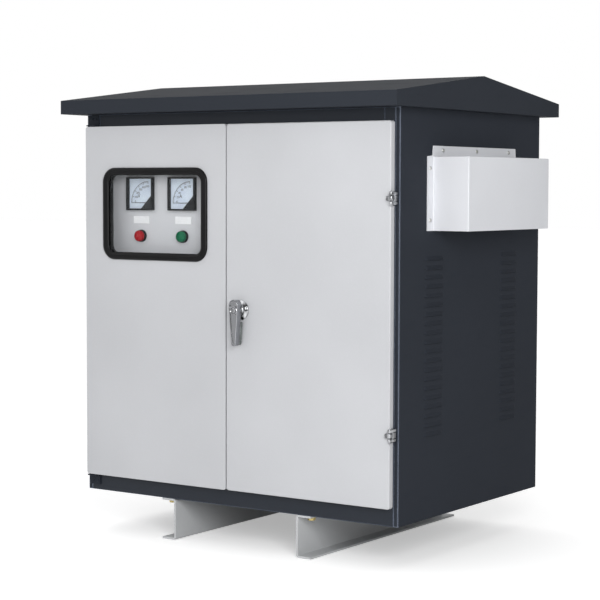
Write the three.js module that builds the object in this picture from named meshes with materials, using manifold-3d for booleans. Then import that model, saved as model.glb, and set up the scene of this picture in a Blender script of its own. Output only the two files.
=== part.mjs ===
// An outdoor transformer cabinet on channel skids: a folded steel housing with two doors, a meter
// window, a pitched roof and a cable hood, and the three-phase dry-type transformer inside it.
// Millimetres, +Z up. Inside the file x = 0 is the middle of the cabinet, y = 0 is the front of its
// frame and z = 0 is the top of the skids. The exported group moves that to the middle of the
// object's own base.

import * as THREE from "three";
import * as BufferGeometryUtils from "three/addons/utils/BufferGeometryUtils.js";
import Module from "manifold-3d";

const wasm = await Module();
wasm.setup();

// ---- Driving dimensions ------------------------------------------------------------------------

// Housing.
const CABINET_WIDTH = 900;
const CABINET_DEPTH = 665;
const CABINET_HEIGHT = 926;
const SHEET = 2;
const GAP = 0.3;
const FRONT_POST_WIDTH = 40;
const FRONT_POST_DEPTH = 30;
const SIDE_RETURN = 12;
const REAR_POST_LEG = 40;
const SILL_HEIGHT = 41;
const TOP_RAIL_HEIGHT = 30;
const SEAL_LAND = 15;
const FLOOR_THICKNESS = 3;

// Roof.
const ROOF_SIDE_OVERHANG = 30;
const ROOF_FRONT_OVERHANG = 65;
const ROOF_REAR_OVERHANG = 47;
const FASCIA_HEIGHT = 33;
const ROOF_RISE = 49;

// Skids.
const SKID_HEIGHT = 100;
const SKID_FLANGE = 41;
const SKID_WALL = 5;
const SKID_BEND_RADIUS = 7;
const SKID_SPACING = 352;

// Doors.
const DOOR_THICKNESS = 20;
const DOOR_SIDE_MARGIN = 11.25;
const DOOR_MEETING_X = -9.6;
const DOOR_MEETING_GAP = 2.4;
const DOOR_CORNER_RADIUS = 6;
const DOOR_BACK_LIP = 14;
const SEAL_THICKNESS = 2.2;
const SEAL_WIDTH = 8;
const SEAL_INSET = 6;

// Window in the left door.
const WINDOW_CENTRE_X = -222.4;
const WINDOW_BELOW_DOOR_TOP = 211;
const GASKET_WIDTH = 318;
const GASKET_HEIGHT = 222;
const GASKET_CORNER_RADIUS = 35;
const WINDOW_CORNER_STEPS = 4;
const GASKET_RING = 18;
const GASKET_STAND_OUT = 6;
const GASKET_BACK_LIP = 5;
const CUT_OUT_INSET = 9;
const GLASS_THICKNESS = 4;
const GLASS_BITE = 4;

// Instrument plate and what it carries.
const PLATE_THICKNESS = 2;
const PLATE_BELOW_WINDOW = 125;
const PLATE_RIGHT_X = -16;
const METER_COLUMNS = [-303, -174];
const METER_SIZE = 80;
const METER_ABOVE_WINDOW_CENTRE = 48.5;
const METER_STAND_OUT = 12;
const METER_WALL = 3.5;
const METER_BARREL_RADIUS = 30;
const METER_BARREL_LENGTH = 50;
const METER_LENS_THICKNESS = 2;
const METER_LENS_LEDGE = 1.6;
const DIAL_THICKNESS = 1;
const MOVEMENT_COVER_LEG = 34;
const MOVEMENT_COVER_THICKNESS = 1.2;
const PIVOT_INSET = 14.5;
const NEEDLE_LENGTH = 50;
const NEEDLE_THICKNESS = 0.8;
const NEEDLE_HUB_RADIUS = 3;
const LABEL_WIDTH = 49;
const LABEL_HEIGHT = 18;
const LABEL_THICKNESS = 1.5;
const LABEL_BELOW_METER = 14.5;
const LAMP_BELOW_LABEL = 15;
const LAMP_RIM_RADIUS = 15;
const LAMP_RIM_STAND_OUT = 7;
const LAMP_LENS_RADIUS = 11.5;
const LAMP_LENS_STAND_OUT = 9;
const LAMP_LENS_SEAT = 3;
const LAMP_BARREL_RADIUS = 11;
const LAMP_BARREL_LENGTH = 38;

// Lever handle of the right door.
const HANDLE_X = 33;
const HANDLE_BELOW_DOOR_MIDDLE = 2.5;
const ESCUTCHEON_RADIUS = 23.5;
const ESCUTCHEON_HEIGHT = 13;
const ESCUTCHEON_NECK_RADIUS = 15;
const SPINDLE_RADIUS = 8;
const LEVER_THICKNESS = 16;
const LEVER_HALF_WIDTH = 12.5;
const LEVER_TOP = 25;
const LEVER_REACH = 82;
const LEVER_TIP_HALF_WIDTH = 6;
const KEY_CYLINDER_RADIUS = 7;
const KEY_CYLINDER_DEPTH = 11;
const CAM_THICKNESS = 4;
const CAM_WIDTH = 24;
const CAM_CLEAR_OF_MEETING_EDGE = 0.8;
const CAM_BEHIND_FRAME = 3;

// Concealed pivots of the left door.
const PIVOT_FROM_DOOR_EDGE = 8;
const PIVOT_PIN_RADIUS = 3;
const PIVOT_PIN_REACH = 9;
const PIVOT_CLEAR_OF_DOOR = 1.5;
const PIVOT_BRACKET_THICKNESS = 3;
const PIVOT_BRACKET_WIDTH = 26;
const PIVOT_BRACKET_HEIGHT = 26;

// Hinges of the right door.
const HINGE_BELOW_DOOR_TOP = 169.5;
const HINGE_ABOVE_DOOR_BOTTOM = 165;
const HINGE_LENGTH = 31;
const HINGE_PIN_INSET = 5.5;
const HINGE_PIN_AHEAD = 5;
const HINGE_PIN_RADIUS = 2.5;
const KNUCKLE_RADIUS = 5;
const MIDDLE_KNUCKLE = 11;
const HINGE_LEAF_THICKNESS = 2.5;
const DOOR_LEAF_WIDTH = 10;
const DOOR_LEAF_EDGE = 1.2;

// Side louvres.
const LOUVRE_LENGTH = 81;
const LOUVRE_FROM_FRONT = 109;
const LOUVRE_FROM_REAR = 118;
const LOUVRE_BOTTOM_Z = 190;
const LOUVRE_PITCH = 20.9;
const LOUVRE_BELOW_HOOD = 44;
const LOUVRE_SLOT_HEIGHT = 6;
const LOUVRE_HOOD_HEIGHT = 9;
const LOUVRE_STAND_OUT = 5;
const LOUVRE_SHEET = 1.2;

// Cable hood on the right side, and the gland plate behind it.
const HOOD_STAND_OUT = 93;
const HOOD_LENGTH = 393;
const HOOD_BEHIND_MIDDLE = 4;
const HOOD_HEIGHT = 167;
const HOOD_BELOW_EAVE = 106;
const HOOD_SIDE_FLANGE = 25;
const HOOD_TOP_TAB = 24;
const CABLE_SLOT_MARGIN = 55;
const CABLE_SLOT_HEIGHT = 90;
const GLAND_PLATE_LAP = 14;
const GLAND_HOLE_RADIUS = 22;
const GLAND_COUNT = 4;

// Transformer.
const TRANSFORMER_BEHIND_MIDDLE = 17.5;
const LIMB_WIDTH = 100;
const STACK_DEPTH = 120;
const YOKE_HEIGHT = 100;
const CORE_WINDOW_HEIGHT = 400;
const CORE_FOOT_CLEARANCE = 12;
const WINDING_BUILD = 32;
const WINDING_BORE_CLEARANCE = 2;
const WINDING_SPACING = 6;
const WINDING_END_CLEARANCE = 10;
const CLAMP_FLANGE = 45;
const CLAMP_WALL = 5;
const CLAMP_OVERHANG = 20;
const TERMINAL_BOARD_WIDTH = 500;
const TERMINAL_BOARD_HEIGHT = 80;
const TERMINAL_BOARD_THICKNESS = 12;
const TERMINAL_LEG_HEIGHT = 40;
const TERMINAL_LEG_WIDTH = 30;
const EARTH_BAR_LENGTH = 200;
const EARTH_BAR_SECTION = [6, 30];
const EARTH_BAR_STAND_OFF = 20;

// ---- Sizes that follow ------------------------------------------------------------------------

const HALF_WIDTH = CABINET_WIDTH / 2;
const INNER_HALF_WIDTH = HALF_WIDTH - SHEET - GAP;
const INNER_REAR_Y = CABINET_DEPTH - SHEET - GAP;
const FRAME_FOOT_Z = SILL_HEIGHT + SEAL_LAND + GAP;
const DOOR_EDGE_X = HALF_WIDTH - DOOR_SIDE_MARGIN;
const DOOR_FRONT_Y = -DOOR_THICKNESS;
const DOOR_BACK_Y = -SEAL_THICKNESS - 2 * GAP;
const DOOR_BOTTOM_Z = SILL_HEIGHT;
const DOOR_TOP_Z = CABINET_HEIGHT - TOP_RAIL_HEIGHT;
const DOOR_MIDDLE_Z = (DOOR_BOTTOM_Z + DOOR_TOP_Z) / 2;
const WINDOW_CENTRE_Z = DOOR_TOP_Z - WINDOW_BELOW_DOOR_TOP;
const PLATE_BOTTOM_Z = WINDOW_CENTRE_Z - PLATE_BELOW_WINDOW;
const PLATE_FRONT_Y = FRONT_POST_DEPTH + GAP;
const METER_CENTRE_Z = WINDOW_CENTRE_Z + METER_ABOVE_WINDOW_CENTRE;
const METER_FRONT_Y = PLATE_FRONT_Y - GAP - METER_STAND_OUT;
const LABEL_CENTRE_Z = METER_CENTRE_Z - METER_SIZE / 2 - LABEL_BELOW_METER - LABEL_HEIGHT / 2;
const LAMP_CENTRE_Z = LABEL_CENTRE_Z - LABEL_HEIGHT / 2 - LAMP_BELOW_LABEL - LAMP_RIM_RADIUS;
const HANDLE_Z = DOOR_MIDDLE_Z - HANDLE_BELOW_DOOR_MIDDLE;
const HINGE_HEIGHTS = {
  upper: DOOR_TOP_Z - HINGE_BELOW_DOOR_TOP,
  lower: DOOR_BOTTOM_Z + HINGE_ABOVE_DOOR_BOTTOM,
};
const PIVOT_X = -(DOOR_EDGE_X - PIVOT_FROM_DOOR_EDGE);
const PIVOT_Y = DOOR_FRONT_Y + SHEET + GAP + PIVOT_PIN_RADIUS;
const HINGE_PIN_X = HALF_WIDTH - HINGE_PIN_INSET;
const HINGE_PIN_Y = DOOR_FRONT_Y - HINGE_PIN_AHEAD;
const LEVER_BACK_Y = DOOR_FRONT_Y - GAP - ESCUTCHEON_HEIGHT - GAP;
const LEVER_FRONT_Y = LEVER_BACK_Y - LEVER_THICKNESS;
const HOOD_MIDDLE_Y = CABINET_DEPTH / 2 + HOOD_BEHIND_MIDDLE;
const HOOD_FRONT_Y = HOOD_MIDDLE_Y - HOOD_LENGTH / 2;
const HOOD_REAR_Y = HOOD_MIDDLE_Y + HOOD_LENGTH / 2;
const HOOD_TOP_Z = CABINET_HEIGHT - HOOD_BELOW_EAVE;
const HOOD_BOTTOM_Z = HOOD_TOP_Z - HOOD_HEIGHT;
const LOUVRE_COLUMNS = [
  [LOUVRE_FROM_FRONT, LOUVRE_FROM_FRONT + LOUVRE_LENGTH],
  [CABINET_DEPTH - LOUVRE_FROM_REAR - LOUVRE_LENGTH, CABINET_DEPTH - LOUVRE_FROM_REAR],
];
const LOUVRE_ROWS = Math.floor((HOOD_BOTTOM_Z - LOUVRE_BELOW_HOOD - LOUVRE_BOTTOM_Z) / LOUVRE_PITCH);
const TRANSFORMER_CENTRE_Y = CABINET_DEPTH / 2 + TRANSFORMER_BEHIND_MIDDLE;
const WINDING_BORE = Math.hypot(LIMB_WIDTH, STACK_DEPTH) / 2 + WINDING_BORE_CLEARANCE;
const WINDING_RADIUS = WINDING_BORE + WINDING_BUILD;
const LIMB_PITCH = 2 * WINDING_RADIUS + WINDING_SPACING;
const CORE_BOTTOM_Z = FLOOR_THICKNESS + CORE_FOOT_CLEARANCE;
const CORE_WINDOW_BOTTOM_Z = CORE_BOTTOM_Z + YOKE_HEIGHT;
const CORE_WINDOW_TOP_Z = CORE_WINDOW_BOTTOM_Z + CORE_WINDOW_HEIGHT;
const CORE_TOP_Z = CORE_WINDOW_TOP_Z + YOKE_HEIGHT;
const CORE_HALF_LENGTH = LIMB_PITCH + LIMB_WIDTH / 2;
const CLAMP_HALF_LENGTH = CORE_HALF_LENGTH + CLAMP_OVERHANG;

// ---- Solids -------------------------------------------------------------------------------------

function solid(geometry) {
  geometry.deleteAttribute("normal");
  geometry.deleteAttribute("uv");
  const merged = BufferGeometryUtils.mergeVertices(geometry, 1e-4);
  const triangles = [];
  for (let i = 0; i < merged.index.count; i += 3) {
    const [a, b, c] = [0, 1, 2].map((k) => merged.index.getX(i + k));
    if (a !== b && b !== c && c !== a) triangles.push(a, b, c);
  }
  return new wasm.Manifold(new wasm.Mesh({
    numProp: 3,
    vertProperties: merged.attributes.position.array,
    triVerts: new Uint32Array(triangles),
  }));
}

function block(x, y, z) {
  const [[x0, x1], [y0, y1], [z0, z1]] = [x, y, z].map((span) => [...span].sort((a, b) => a - b));
  const geometry = new THREE.BoxGeometry(x1 - x0, y1 - y0, z1 - z0);
  geometry.translate((x0 + x1) / 2, (y0 + y1) / 2, (z0 + z1) / 2);
  return solid(geometry);
}

function outline(points) {
  return new THREE.Shape(points.map(([u, v]) => new THREE.Vector2(u, v)));
}

function roundedRectangle([u0, u1], [v0, v1], radius) {
  const shape = new THREE.Shape();
  shape.absarc(u1 - radius, v0 + radius, radius, -Math.PI / 2, 0);
  shape.absarc(u1 - radius, v1 - radius, radius, 0, Math.PI / 2);
  shape.absarc(u0 + radius, v1 - radius, radius, Math.PI / 2, Math.PI);
  shape.absarc(u0 + radius, v0 + radius, radius, Math.PI, 1.5 * Math.PI);
  return shape;
}

function extrude(shape, depth, curveSegments) {
  return new THREE.ExtrudeGeometry(shape, { depth, bevelEnabled: false, curveSegments });
}

// An outline in (y, z) swept along x.
function sweptAlongX(shape, [x0, x1], curveSegments = 6) {
  const geometry = extrude(shape, x1 - x0, curveSegments);
  const basis = [new THREE.Vector3(0, 1, 0), new THREE.Vector3(0, 0, 1), new THREE.Vector3(1, 0, 0)];
  geometry.applyMatrix4(new THREE.Matrix4().makeBasis(...basis));
  geometry.translate(x0, 0, 0);
  return solid(geometry);
}

// An outline in (x, z) swept along y.
function sweptAlongY(shape, [y0, y1], curveSegments = 6) {
  const geometry = extrude(shape, y1 - y0, curveSegments);
  geometry.rotateX(Math.PI / 2);
  geometry.translate(0, y1, 0);
  return solid(geometry);
}

// An outline in (x, y) swept along z.
function sweptAlongZ(shape, [z0, z1], curveSegments = 6) {
  const geometry = extrude(shape, z1 - z0, curveSegments);
  geometry.translate(0, 0, z0);
  return solid(geometry);
}

function cylinderAlongY(x, z, radius, [y0, y1], sides = 20) {
  const geometry = new THREE.CylinderGeometry(radius, radius, y1 - y0, sides);
  geometry.translate(x, (y0 + y1) / 2, z);
  return solid(geometry);
}

function cylinderAlongZ(x, y, radius, [z0, z1], sides = 16) {
  const geometry = new THREE.CylinderGeometry(radius, radius, z1 - z0, sides);
  geometry.rotateX(Math.PI / 2);
  geometry.translate(x, y, (z0 + z1) / 2);
  return solid(geometry);
}

// A profile of [radius, distance ahead of the plane y] turned about a line along y.
function turnedForward(profile, x, y, z, sides = 16) {
  const points = profile.map(([radius, ahead]) => new THREE.Vector2(radius, ahead));
  const geometry = new THREE.LatheGeometry(points, sides);
  geometry.rotateX(Math.PI);
  geometry.translate(x, y, z);
  return solid(geometry);
}

function joined(first, ...others) {
  return others.reduce((whole, other) => whole.add(other), first);
}

function cut(first, ...others) {
  return others.reduce((whole, other) => whole.subtract(other), first);
}

function centred(middle, size) {
  return [middle - size / 2, middle + size / 2];
}

// ---- Finishes -----------------------------------------------------------------------------------

function finish(color, roughness, metalness, opacity = 1) {
  return new THREE.MeshStandardMaterial({
    color, roughness, metalness, opacity, transparent: opacity < 1,
  });
}

const darkPaint = () => finish(0x363a3e, 0.55, 0.1);
const lightPaint = () => finish(0xd9dbdc, 0.5, 0.05);
const skidPaint = () => finish(0xb9bcc0, 0.5, 0.2);
const platePaint = () => finish(0xb6b8bb, 0.45, 0.1);
const rubber = () => finish(0x1c1d1f, 0.85, 0);
const clearGlass = () => finish(0xdfe8ea, 0.05, 0, 0.25);
const blackPlastic = () => finish(0x17181a, 0.4, 0);
const dialPlastic = () => finish(0xe9e8f2, 0.5, 0);
const labelPlastic = () => finish(0xf2f2f0, 0.5, 0);
const redLens = () => finish(0xc01d24, 0.2, 0);
const greenLens = () => finish(0x10935a, 0.2, 0);
const chrome = () => finish(0xc9ccd0, 0.12, 1);
const zincSteel = () => finish(0xb8b6a8, 0.35, 0.9);
const coreSteel = () => finish(0x4b4e52, 0.6, 0.7);
const windingResin = () => finish(0x7a2f25, 0.5, 0);
const clampPaint = () => finish(0x2f4f7a, 0.5, 0.2);
const insulationBoard = () => finish(0x9a3d2b, 0.6, 0);
const copper = () => finish(0xb87333, 0.35, 1);

const pieces = [];

function piece(name, shape, material) {
  const { numProp, vertProperties, triVerts } = shape.getMesh();
  const geometry = new THREE.BufferGeometry();
  geometry.setAttribute("position", new THREE.BufferAttribute(vertProperties, numProp));
  geometry.setIndex(new THREE.BufferAttribute(triVerts, 1));
  geometry.computeVertexNormals();
  const mesh = new THREE.Mesh(geometry, material);
  mesh.name = name;
  pieces.push(mesh);
}

const SIDES = { left: -1, right: 1 };

// ---- Base: two bent channels under a folded floor tray -----------------------------------------

function skid(side) {
  const web = side * SKID_SPACING / 2;
  const back = web + side * SKID_FLANGE;
  const bottom = -SKID_HEIGHT;
  const inner = SKID_BEND_RADIUS - SKID_WALL;
  const shape = new THREE.Shape();
  const turn = side > 0 ? 1 : -1;
  const arc = (x, z, radius, from, to) => {
    const angle = (degrees) => THREE.MathUtils.degToRad(side > 0 ? 180 - degrees : degrees);
    shape.absarc(x, z, radius, angle(from), angle(to), (to < from) === (side < 0));
  };
  shape.moveTo(back, bottom + SKID_WALL);
  shape.lineTo(back, bottom);
  arc(web + turn * SKID_BEND_RADIUS, bottom + SKID_BEND_RADIUS, SKID_BEND_RADIUS, -90, 0);
  arc(web + turn * SKID_BEND_RADIUS, -GAP - SKID_BEND_RADIUS, SKID_BEND_RADIUS, 0, 90);
  shape.lineTo(back, -GAP);
  shape.lineTo(back, -GAP - SKID_WALL);
  arc(web + turn * SKID_BEND_RADIUS, -GAP - SKID_BEND_RADIUS, inner, 90, 0);
  arc(web + turn * SKID_BEND_RADIUS, bottom + SKID_BEND_RADIUS, inner, 0, -90);
  return sweptAlongY(shape, [0, CABINET_DEPTH], 4);
}

function floorTray() {
  const across = [-INNER_HALF_WIDTH, INNER_HALF_WIDTH];
  const wallTop = SILL_HEIGHT + SEAL_LAND;
  const outer = block(across, [0, INNER_REAR_Y], [0, wallTop]);
  const hollowX = across.map((x) => x - Math.sign(x) * SHEET);
  const hollow = block(hollowX, [SHEET, INNER_REAR_Y - SHEET], [FLOOR_THICKNESS, wallTop + 1]);
  const notches = [-1, 1].map((side) => {
    const x = [side * (HALF_WIDTH - SIDE_RETURN - GAP), side * HALF_WIDTH];
    return block(x, [-1, SHEET + GAP], [-1, wallTop + 1]);
  });
  return cut(outer, hollow, ...notches);
}

// ---- Frame: folded posts and the rail over the doors -------------------------------------------

// A channel open to the rear, beside the front return of the side panel.
function frontPost(side) {
  const outer = side * (HALF_WIDTH - SIDE_RETURN - GAP);
  const inner = side * (HALF_WIDTH - FRONT_POST_WIDTH);
  const shape = outline([
    [outer, 0],
    [inner, 0],
    [inner, FRONT_POST_DEPTH],
    [inner + side * SHEET, FRONT_POST_DEPTH],
    [inner + side * SHEET, SHEET],
    [outer - side * SHEET, SHEET],
    [outer - side * SHEET, FRONT_POST_DEPTH],
    [outer, FRONT_POST_DEPTH],
  ]);
  return sweptAlongZ(shape, [FRAME_FOOT_Z, CABINET_HEIGHT]);
}

function rearPost(side) {
  const outer = side * INNER_HALF_WIDTH;
  const shape = outline([
    [outer, INNER_REAR_Y],
    [outer, INNER_REAR_Y - REAR_POST_LEG],
    [outer - side * SHEET, INNER_REAR_Y - REAR_POST_LEG],
    [outer - side * SHEET, INNER_REAR_Y - SHEET],
    [outer - side * REAR_POST_LEG, INNER_REAR_Y - SHEET],
    [outer - side * REAR_POST_LEG, INNER_REAR_Y],
  ]);
  return sweptAlongZ(shape, [FRAME_FOOT_Z, CABINET_HEIGHT]);
}

function frontTopRail() {
  const halfSpan = HALF_WIDTH - FRONT_POST_WIDTH - GAP;
  const bottom = CABINET_HEIGHT - TOP_RAIL_HEIGHT - SEAL_LAND;
  const shape = outline([
    [0, bottom],
    [0, CABINET_HEIGHT],
    [FRONT_POST_DEPTH, CABINET_HEIGHT],
    [FRONT_POST_DEPTH, CABINET_HEIGHT - SHEET],
    [SHEET, CABINET_HEIGHT - SHEET],
    [SHEET, bottom + SHEET],
    [FRONT_POST_DEPTH, bottom + SHEET],
    [FRONT_POST_DEPTH, bottom],
  ]);
  return sweptAlongX(shape, [-halfSpan, halfSpan]);
}

// ---- Skins --------------------------------------------------------------------------------------

// One pressed louvre: a slot in the panel and the sloping hood above it, open downwards.
function louvreHood(side, column, z) {
  const lip = side * (HALF_WIDTH + LOUVRE_STAND_OUT);
  const root = side * (HALF_WIDTH - SHEET / 2);
  const shape = outline([
    [root, z + LOUVRE_HOOD_HEIGHT],
    [lip, z],
    [lip - side * LOUVRE_SHEET, z],
    [root, z + LOUVRE_SLOT_HEIGHT],
  ]);
  return sweptAlongY(shape, column);
}

// A sheet bent round the front corner, with its two columns of louvres.
function sidePanel(side) {
  const faces = [side * (HALF_WIDTH - SHEET), side * HALF_WIDTH];
  const through = [side * (HALF_WIDTH - SHEET - 1), side * (HALF_WIDTH + 1)];
  const slots = [];
  const hoods = [];
  for (const column of LOUVRE_COLUMNS) {
    for (let row = 0; row < LOUVRE_ROWS; row += 1) {
      const z = LOUVRE_BOTTOM_Z + row * LOUVRE_PITCH;
      slots.push(block(through, column, [z, z + LOUVRE_SLOT_HEIGHT]));
      hoods.push(louvreHood(side, column, z));
    }
  }
  const sheet = block(faces, [0, INNER_REAR_Y], [0, CABINET_HEIGHT]);
  const returnX = [side * (HALF_WIDTH - SIDE_RETURN), side * HALF_WIDTH];
  const frontReturn = block(returnX, [0, SHEET], [0, CABINET_HEIGHT]);
  return joined(cut(joined(sheet, frontReturn), ...slots), ...hoods);
}

function cableSlot() {
  return {
    y: [HOOD_FRONT_Y + CABLE_SLOT_MARGIN, HOOD_REAR_Y - CABLE_SLOT_MARGIN],
    z: centred((HOOD_BOTTOM_Z + HOOD_TOP_Z) / 2, CABLE_SLOT_HEIGHT),
  };
}

function sidePanelWithCableSlot() {
  const slot = cableSlot();
  return cut(sidePanel(SIDES.right), block([HALF_WIDTH - SHEET - 1, HALF_WIDTH + 1], slot.y, slot.z));
}

function rearPanel() {
  return block([-HALF_WIDTH, HALF_WIDTH], [CABINET_DEPTH - SHEET, CABINET_DEPTH], [0, CABINET_HEIGHT]);
}

// ---- Roof: a flat soffit plate that closes the top, and the pitched canopy around it ------------

const ROOF_X = HALF_WIDTH + ROOF_SIDE_OVERHANG;
const ROOF_Y = [-ROOF_FRONT_OVERHANG, CABINET_DEPTH + ROOF_REAR_OVERHANG];

function roofOutline(inset) {
  const front = ROOF_Y[0] + inset;
  const rear = ROOF_Y[1] - inset;
  const shoulder = CABINET_HEIGHT + FASCIA_HEIGHT - inset;
  const below = inset > 0 ? CABINET_HEIGHT - 1 : CABINET_HEIGHT;
  return outline([
    [front, below],
    [front, shoulder],
    [(front + rear) / 2, shoulder + ROOF_RISE],
    [rear, shoulder],
    [rear, below],
  ]);
}

function roofCanopy() {
  const outer = sweptAlongX(roofOutline(0), [-ROOF_X, ROOF_X]);
  const inner = sweptAlongX(roofOutline(SHEET), [SHEET - ROOF_X, ROOF_X - SHEET]);
  return cut(outer, inner);
}

function roofSoffit() {
  const halfSpan = ROOF_X - SHEET - GAP;
  const along = [ROOF_Y[0] + SHEET + GAP, ROOF_Y[1] - SHEET - GAP];
  const bottom = CABINET_HEIGHT + GAP;
  return block([-halfSpan, halfSpan], along, [bottom, bottom + SHEET]);
}

// ---- Doors --------------------------------------------------------------------------------------

const DOOR_SPANS = {
  left: [-DOOR_EDGE_X, DOOR_MEETING_X - DOOR_MEETING_GAP / 2],
  right: [DOOR_MEETING_X + DOOR_MEETING_GAP / 2, DOOR_EDGE_X],
};

function insetSpan([low, high], inset) {
  return [low + inset, high - inset];
}

// A folded pan with a lip turned in round its back.
function doorPan(span) {
  const height = [DOOR_BOTTOM_Z, DOOR_TOP_Z];
  const corner = DOOR_CORNER_RADIUS;
  const skin = sweptAlongY(roundedRectangle(span, height, corner), [DOOR_FRONT_Y, DOOR_BACK_Y], 3);
  const hollow = roundedRectangle(insetSpan(span, SHEET), insetSpan(height, SHEET), corner - SHEET);
  const inside = sweptAlongY(hollow, [DOOR_FRONT_Y + SHEET, DOOR_BACK_Y - SHEET], 3);
  const mouthX = insetSpan(span, DOOR_BACK_LIP);
  const mouthZ = insetSpan(height, DOOR_BACK_LIP);
  const mouth = block(mouthX, [DOOR_BACK_Y - SHEET - 1, DOOR_BACK_Y + 1], mouthZ);
  return cut(skin, inside, mouth);
}

function doorSeal(span) {
  const height = [DOOR_BOTTOM_Z, DOOR_TOP_Z];
  const rim = block(insetSpan(span, SEAL_INSET), [DOOR_BACK_Y + GAP, -GAP], insetSpan(height, SEAL_INSET));
  const open = SEAL_INSET + SEAL_WIDTH;
  return cut(rim, block(insetSpan(span, open), [DOOR_BACK_Y, 0], insetSpan(height, open)));
}

function windowShape(inset) {
  const x = centred(WINDOW_CENTRE_X, GASKET_WIDTH - 2 * inset);
  const z = centred(WINDOW_CENTRE_Z, GASKET_HEIGHT - 2 * inset);
  return roundedRectangle(x, z, GASKET_CORNER_RADIUS - inset);
}

function leftDoor() {
  const through = [DOOR_FRONT_Y - 1, DOOR_FRONT_Y + SHEET + 1];
  const opening = sweptAlongY(windowShape(CUT_OUT_INSET), through, WINDOW_CORNER_STEPS);
  const pivotHoles = [DOOR_BOTTOM_Z, DOOR_TOP_Z].map((z) => {
    const span = [z - SHEET - 1, z + SHEET + 1];
    return cylinderAlongZ(PIVOT_X, PIVOT_Y, PIVOT_PIN_RADIUS + GAP / 2, span);
  });
  return cut(doorPan(DOOR_SPANS.left), opening, ...pivotHoles);
}

function rightDoor() {
  const radius = SPINDLE_RADIUS + GAP;
  const hole = cylinderAlongY(HANDLE_X, HANDLE_Z, radius, [DOOR_FRONT_Y - 1, DOOR_FRONT_Y + SHEET + 1]);
  return cut(doorPan(DOOR_SPANS.right), hole);
}

const GLASS_Y = [DOOR_FRONT_Y + SHEET / 2 - GLASS_THICKNESS / 2, DOOR_FRONT_Y + SHEET / 2 + GLASS_THICKNESS / 2];

// Rubber profile: a lip on each face of the door skin, a neck through the cut-out, and the groove
// that holds the glass.
function windowGasket() {
  const skinBack = DOOR_FRONT_Y + SHEET;
  const ring = (inset, span) => sweptAlongY(windowShape(inset), span, WINDOW_CORNER_STEPS);
  const frontLip = ring(0, [DOOR_FRONT_Y - GASKET_STAND_OUT, DOOR_FRONT_Y - GAP]);
  const neck = ring(CUT_OUT_INSET + GAP, [DOOR_FRONT_Y - 1, skinBack + 1]);
  const backLip = ring(SHEET, [skinBack + GAP, skinBack + GASKET_BACK_LIP]);
  const sight = ring(GASKET_RING, [DOOR_FRONT_Y - GASKET_STAND_OUT - 1, skinBack + GASKET_BACK_LIP + 1]);
  const groove = ring(GASKET_RING - GLASS_BITE - GAP, [GLASS_Y[0] - GAP, GLASS_Y[1] + GAP]);
  return cut(joined(frontLip, neck, backLip), sight, groove);
}

function windowGlass() {
  return sweptAlongY(windowShape(GASKET_RING - GLASS_BITE), GLASS_Y, WINDOW_CORNER_STEPS);
}

// ---- Lever handle -------------------------------------------------------------------------------

function handleEscutcheon() {
  const bore = SPINDLE_RADIUS + GAP;
  const profile = [
    [bore, 0],
    [ESCUTCHEON_RADIUS, 0],
    [ESCUTCHEON_RADIUS, ESCUTCHEON_HEIGHT * 0.35],
    [ESCUTCHEON_NECK_RADIUS, ESCUTCHEON_HEIGHT],
    [bore, ESCUTCHEON_HEIGHT],
    [bore, 0],
  ];
  return turnedForward(profile, HANDLE_X, DOOR_FRONT_Y - GAP, HANDLE_Z, 24);
}

// The lever hangs down from its spindle, wide at the head and narrowing to a round tip.
function handleLever() {
  const shape = new THREE.Shape();
  const tipZ = HANDLE_Z - LEVER_REACH;
  const shoulderZ = HANDLE_Z + LEVER_TOP - LEVER_HALF_WIDTH;
  const tipCentreZ = tipZ + LEVER_TIP_HALF_WIDTH;
  const sideBend = HANDLE_Z - LEVER_REACH / 4;
  shape.moveTo(HANDLE_X + LEVER_HALF_WIDTH, shoulderZ);
  shape.absarc(HANDLE_X, shoulderZ, LEVER_HALF_WIDTH, 0, Math.PI);
  shape.quadraticCurveTo(HANDLE_X - LEVER_HALF_WIDTH, sideBend, HANDLE_X - LEVER_TIP_HALF_WIDTH, tipCentreZ);
  shape.absarc(HANDLE_X, tipCentreZ, LEVER_TIP_HALF_WIDTH, Math.PI, 2 * Math.PI);
  shape.quadraticCurveTo(HANDLE_X + LEVER_HALF_WIDTH, sideBend, HANDLE_X + LEVER_HALF_WIDTH, shoulderZ);
  const blade = sweptAlongY(shape, [LEVER_FRONT_Y, LEVER_BACK_Y], 8);
  const spindleSpan = [LEVER_BACK_Y - 1, CAM_BEHIND_FRAME - GAP];
  const spindle = cylinderAlongY(HANDLE_X, HANDLE_Z, SPINDLE_RADIUS, spindleSpan);
  const pocket = [LEVER_FRONT_Y - 1, LEVER_FRONT_Y + KEY_CYLINDER_DEPTH + GAP];
  const keyPocket = cylinderAlongY(HANDLE_X, HANDLE_Z, KEY_CYLINDER_RADIUS + GAP, pocket);
  return cut(joined(blade, spindle), keyPocket);
}

function keyCylinder() {
  const span = [LEVER_FRONT_Y, LEVER_FRONT_Y + KEY_CYLINDER_DEPTH];
  const barrel = cylinderAlongY(HANDLE_X, HANDLE_Z, KEY_CYLINDER_RADIUS, span);
  const keyway = block(centred(HANDLE_X, 1.6), [LEVER_FRONT_Y - 1, LEVER_FRONT_Y + 6], centred(HANDLE_Z, 8));
  return cut(barrel, keyway);
}

// The tongue stops just short of the meeting edge, so either door can open by itself.
function lockCam() {
  const tongueX = DOOR_SPANS.right[0] + CAM_CLEAR_OF_MEETING_EDGE;
  const halfWidth = CAM_WIDTH / 2;
  const back = HANDLE_X + halfWidth;
  const span = [tongueX, back];
  return block(span, [CAM_BEHIND_FRAME, CAM_BEHIND_FRAME + CAM_THICKNESS], centred(HANDLE_Z, CAM_WIDTH));
}

// ---- Pivots of the left door --------------------------------------------------------------------

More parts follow.
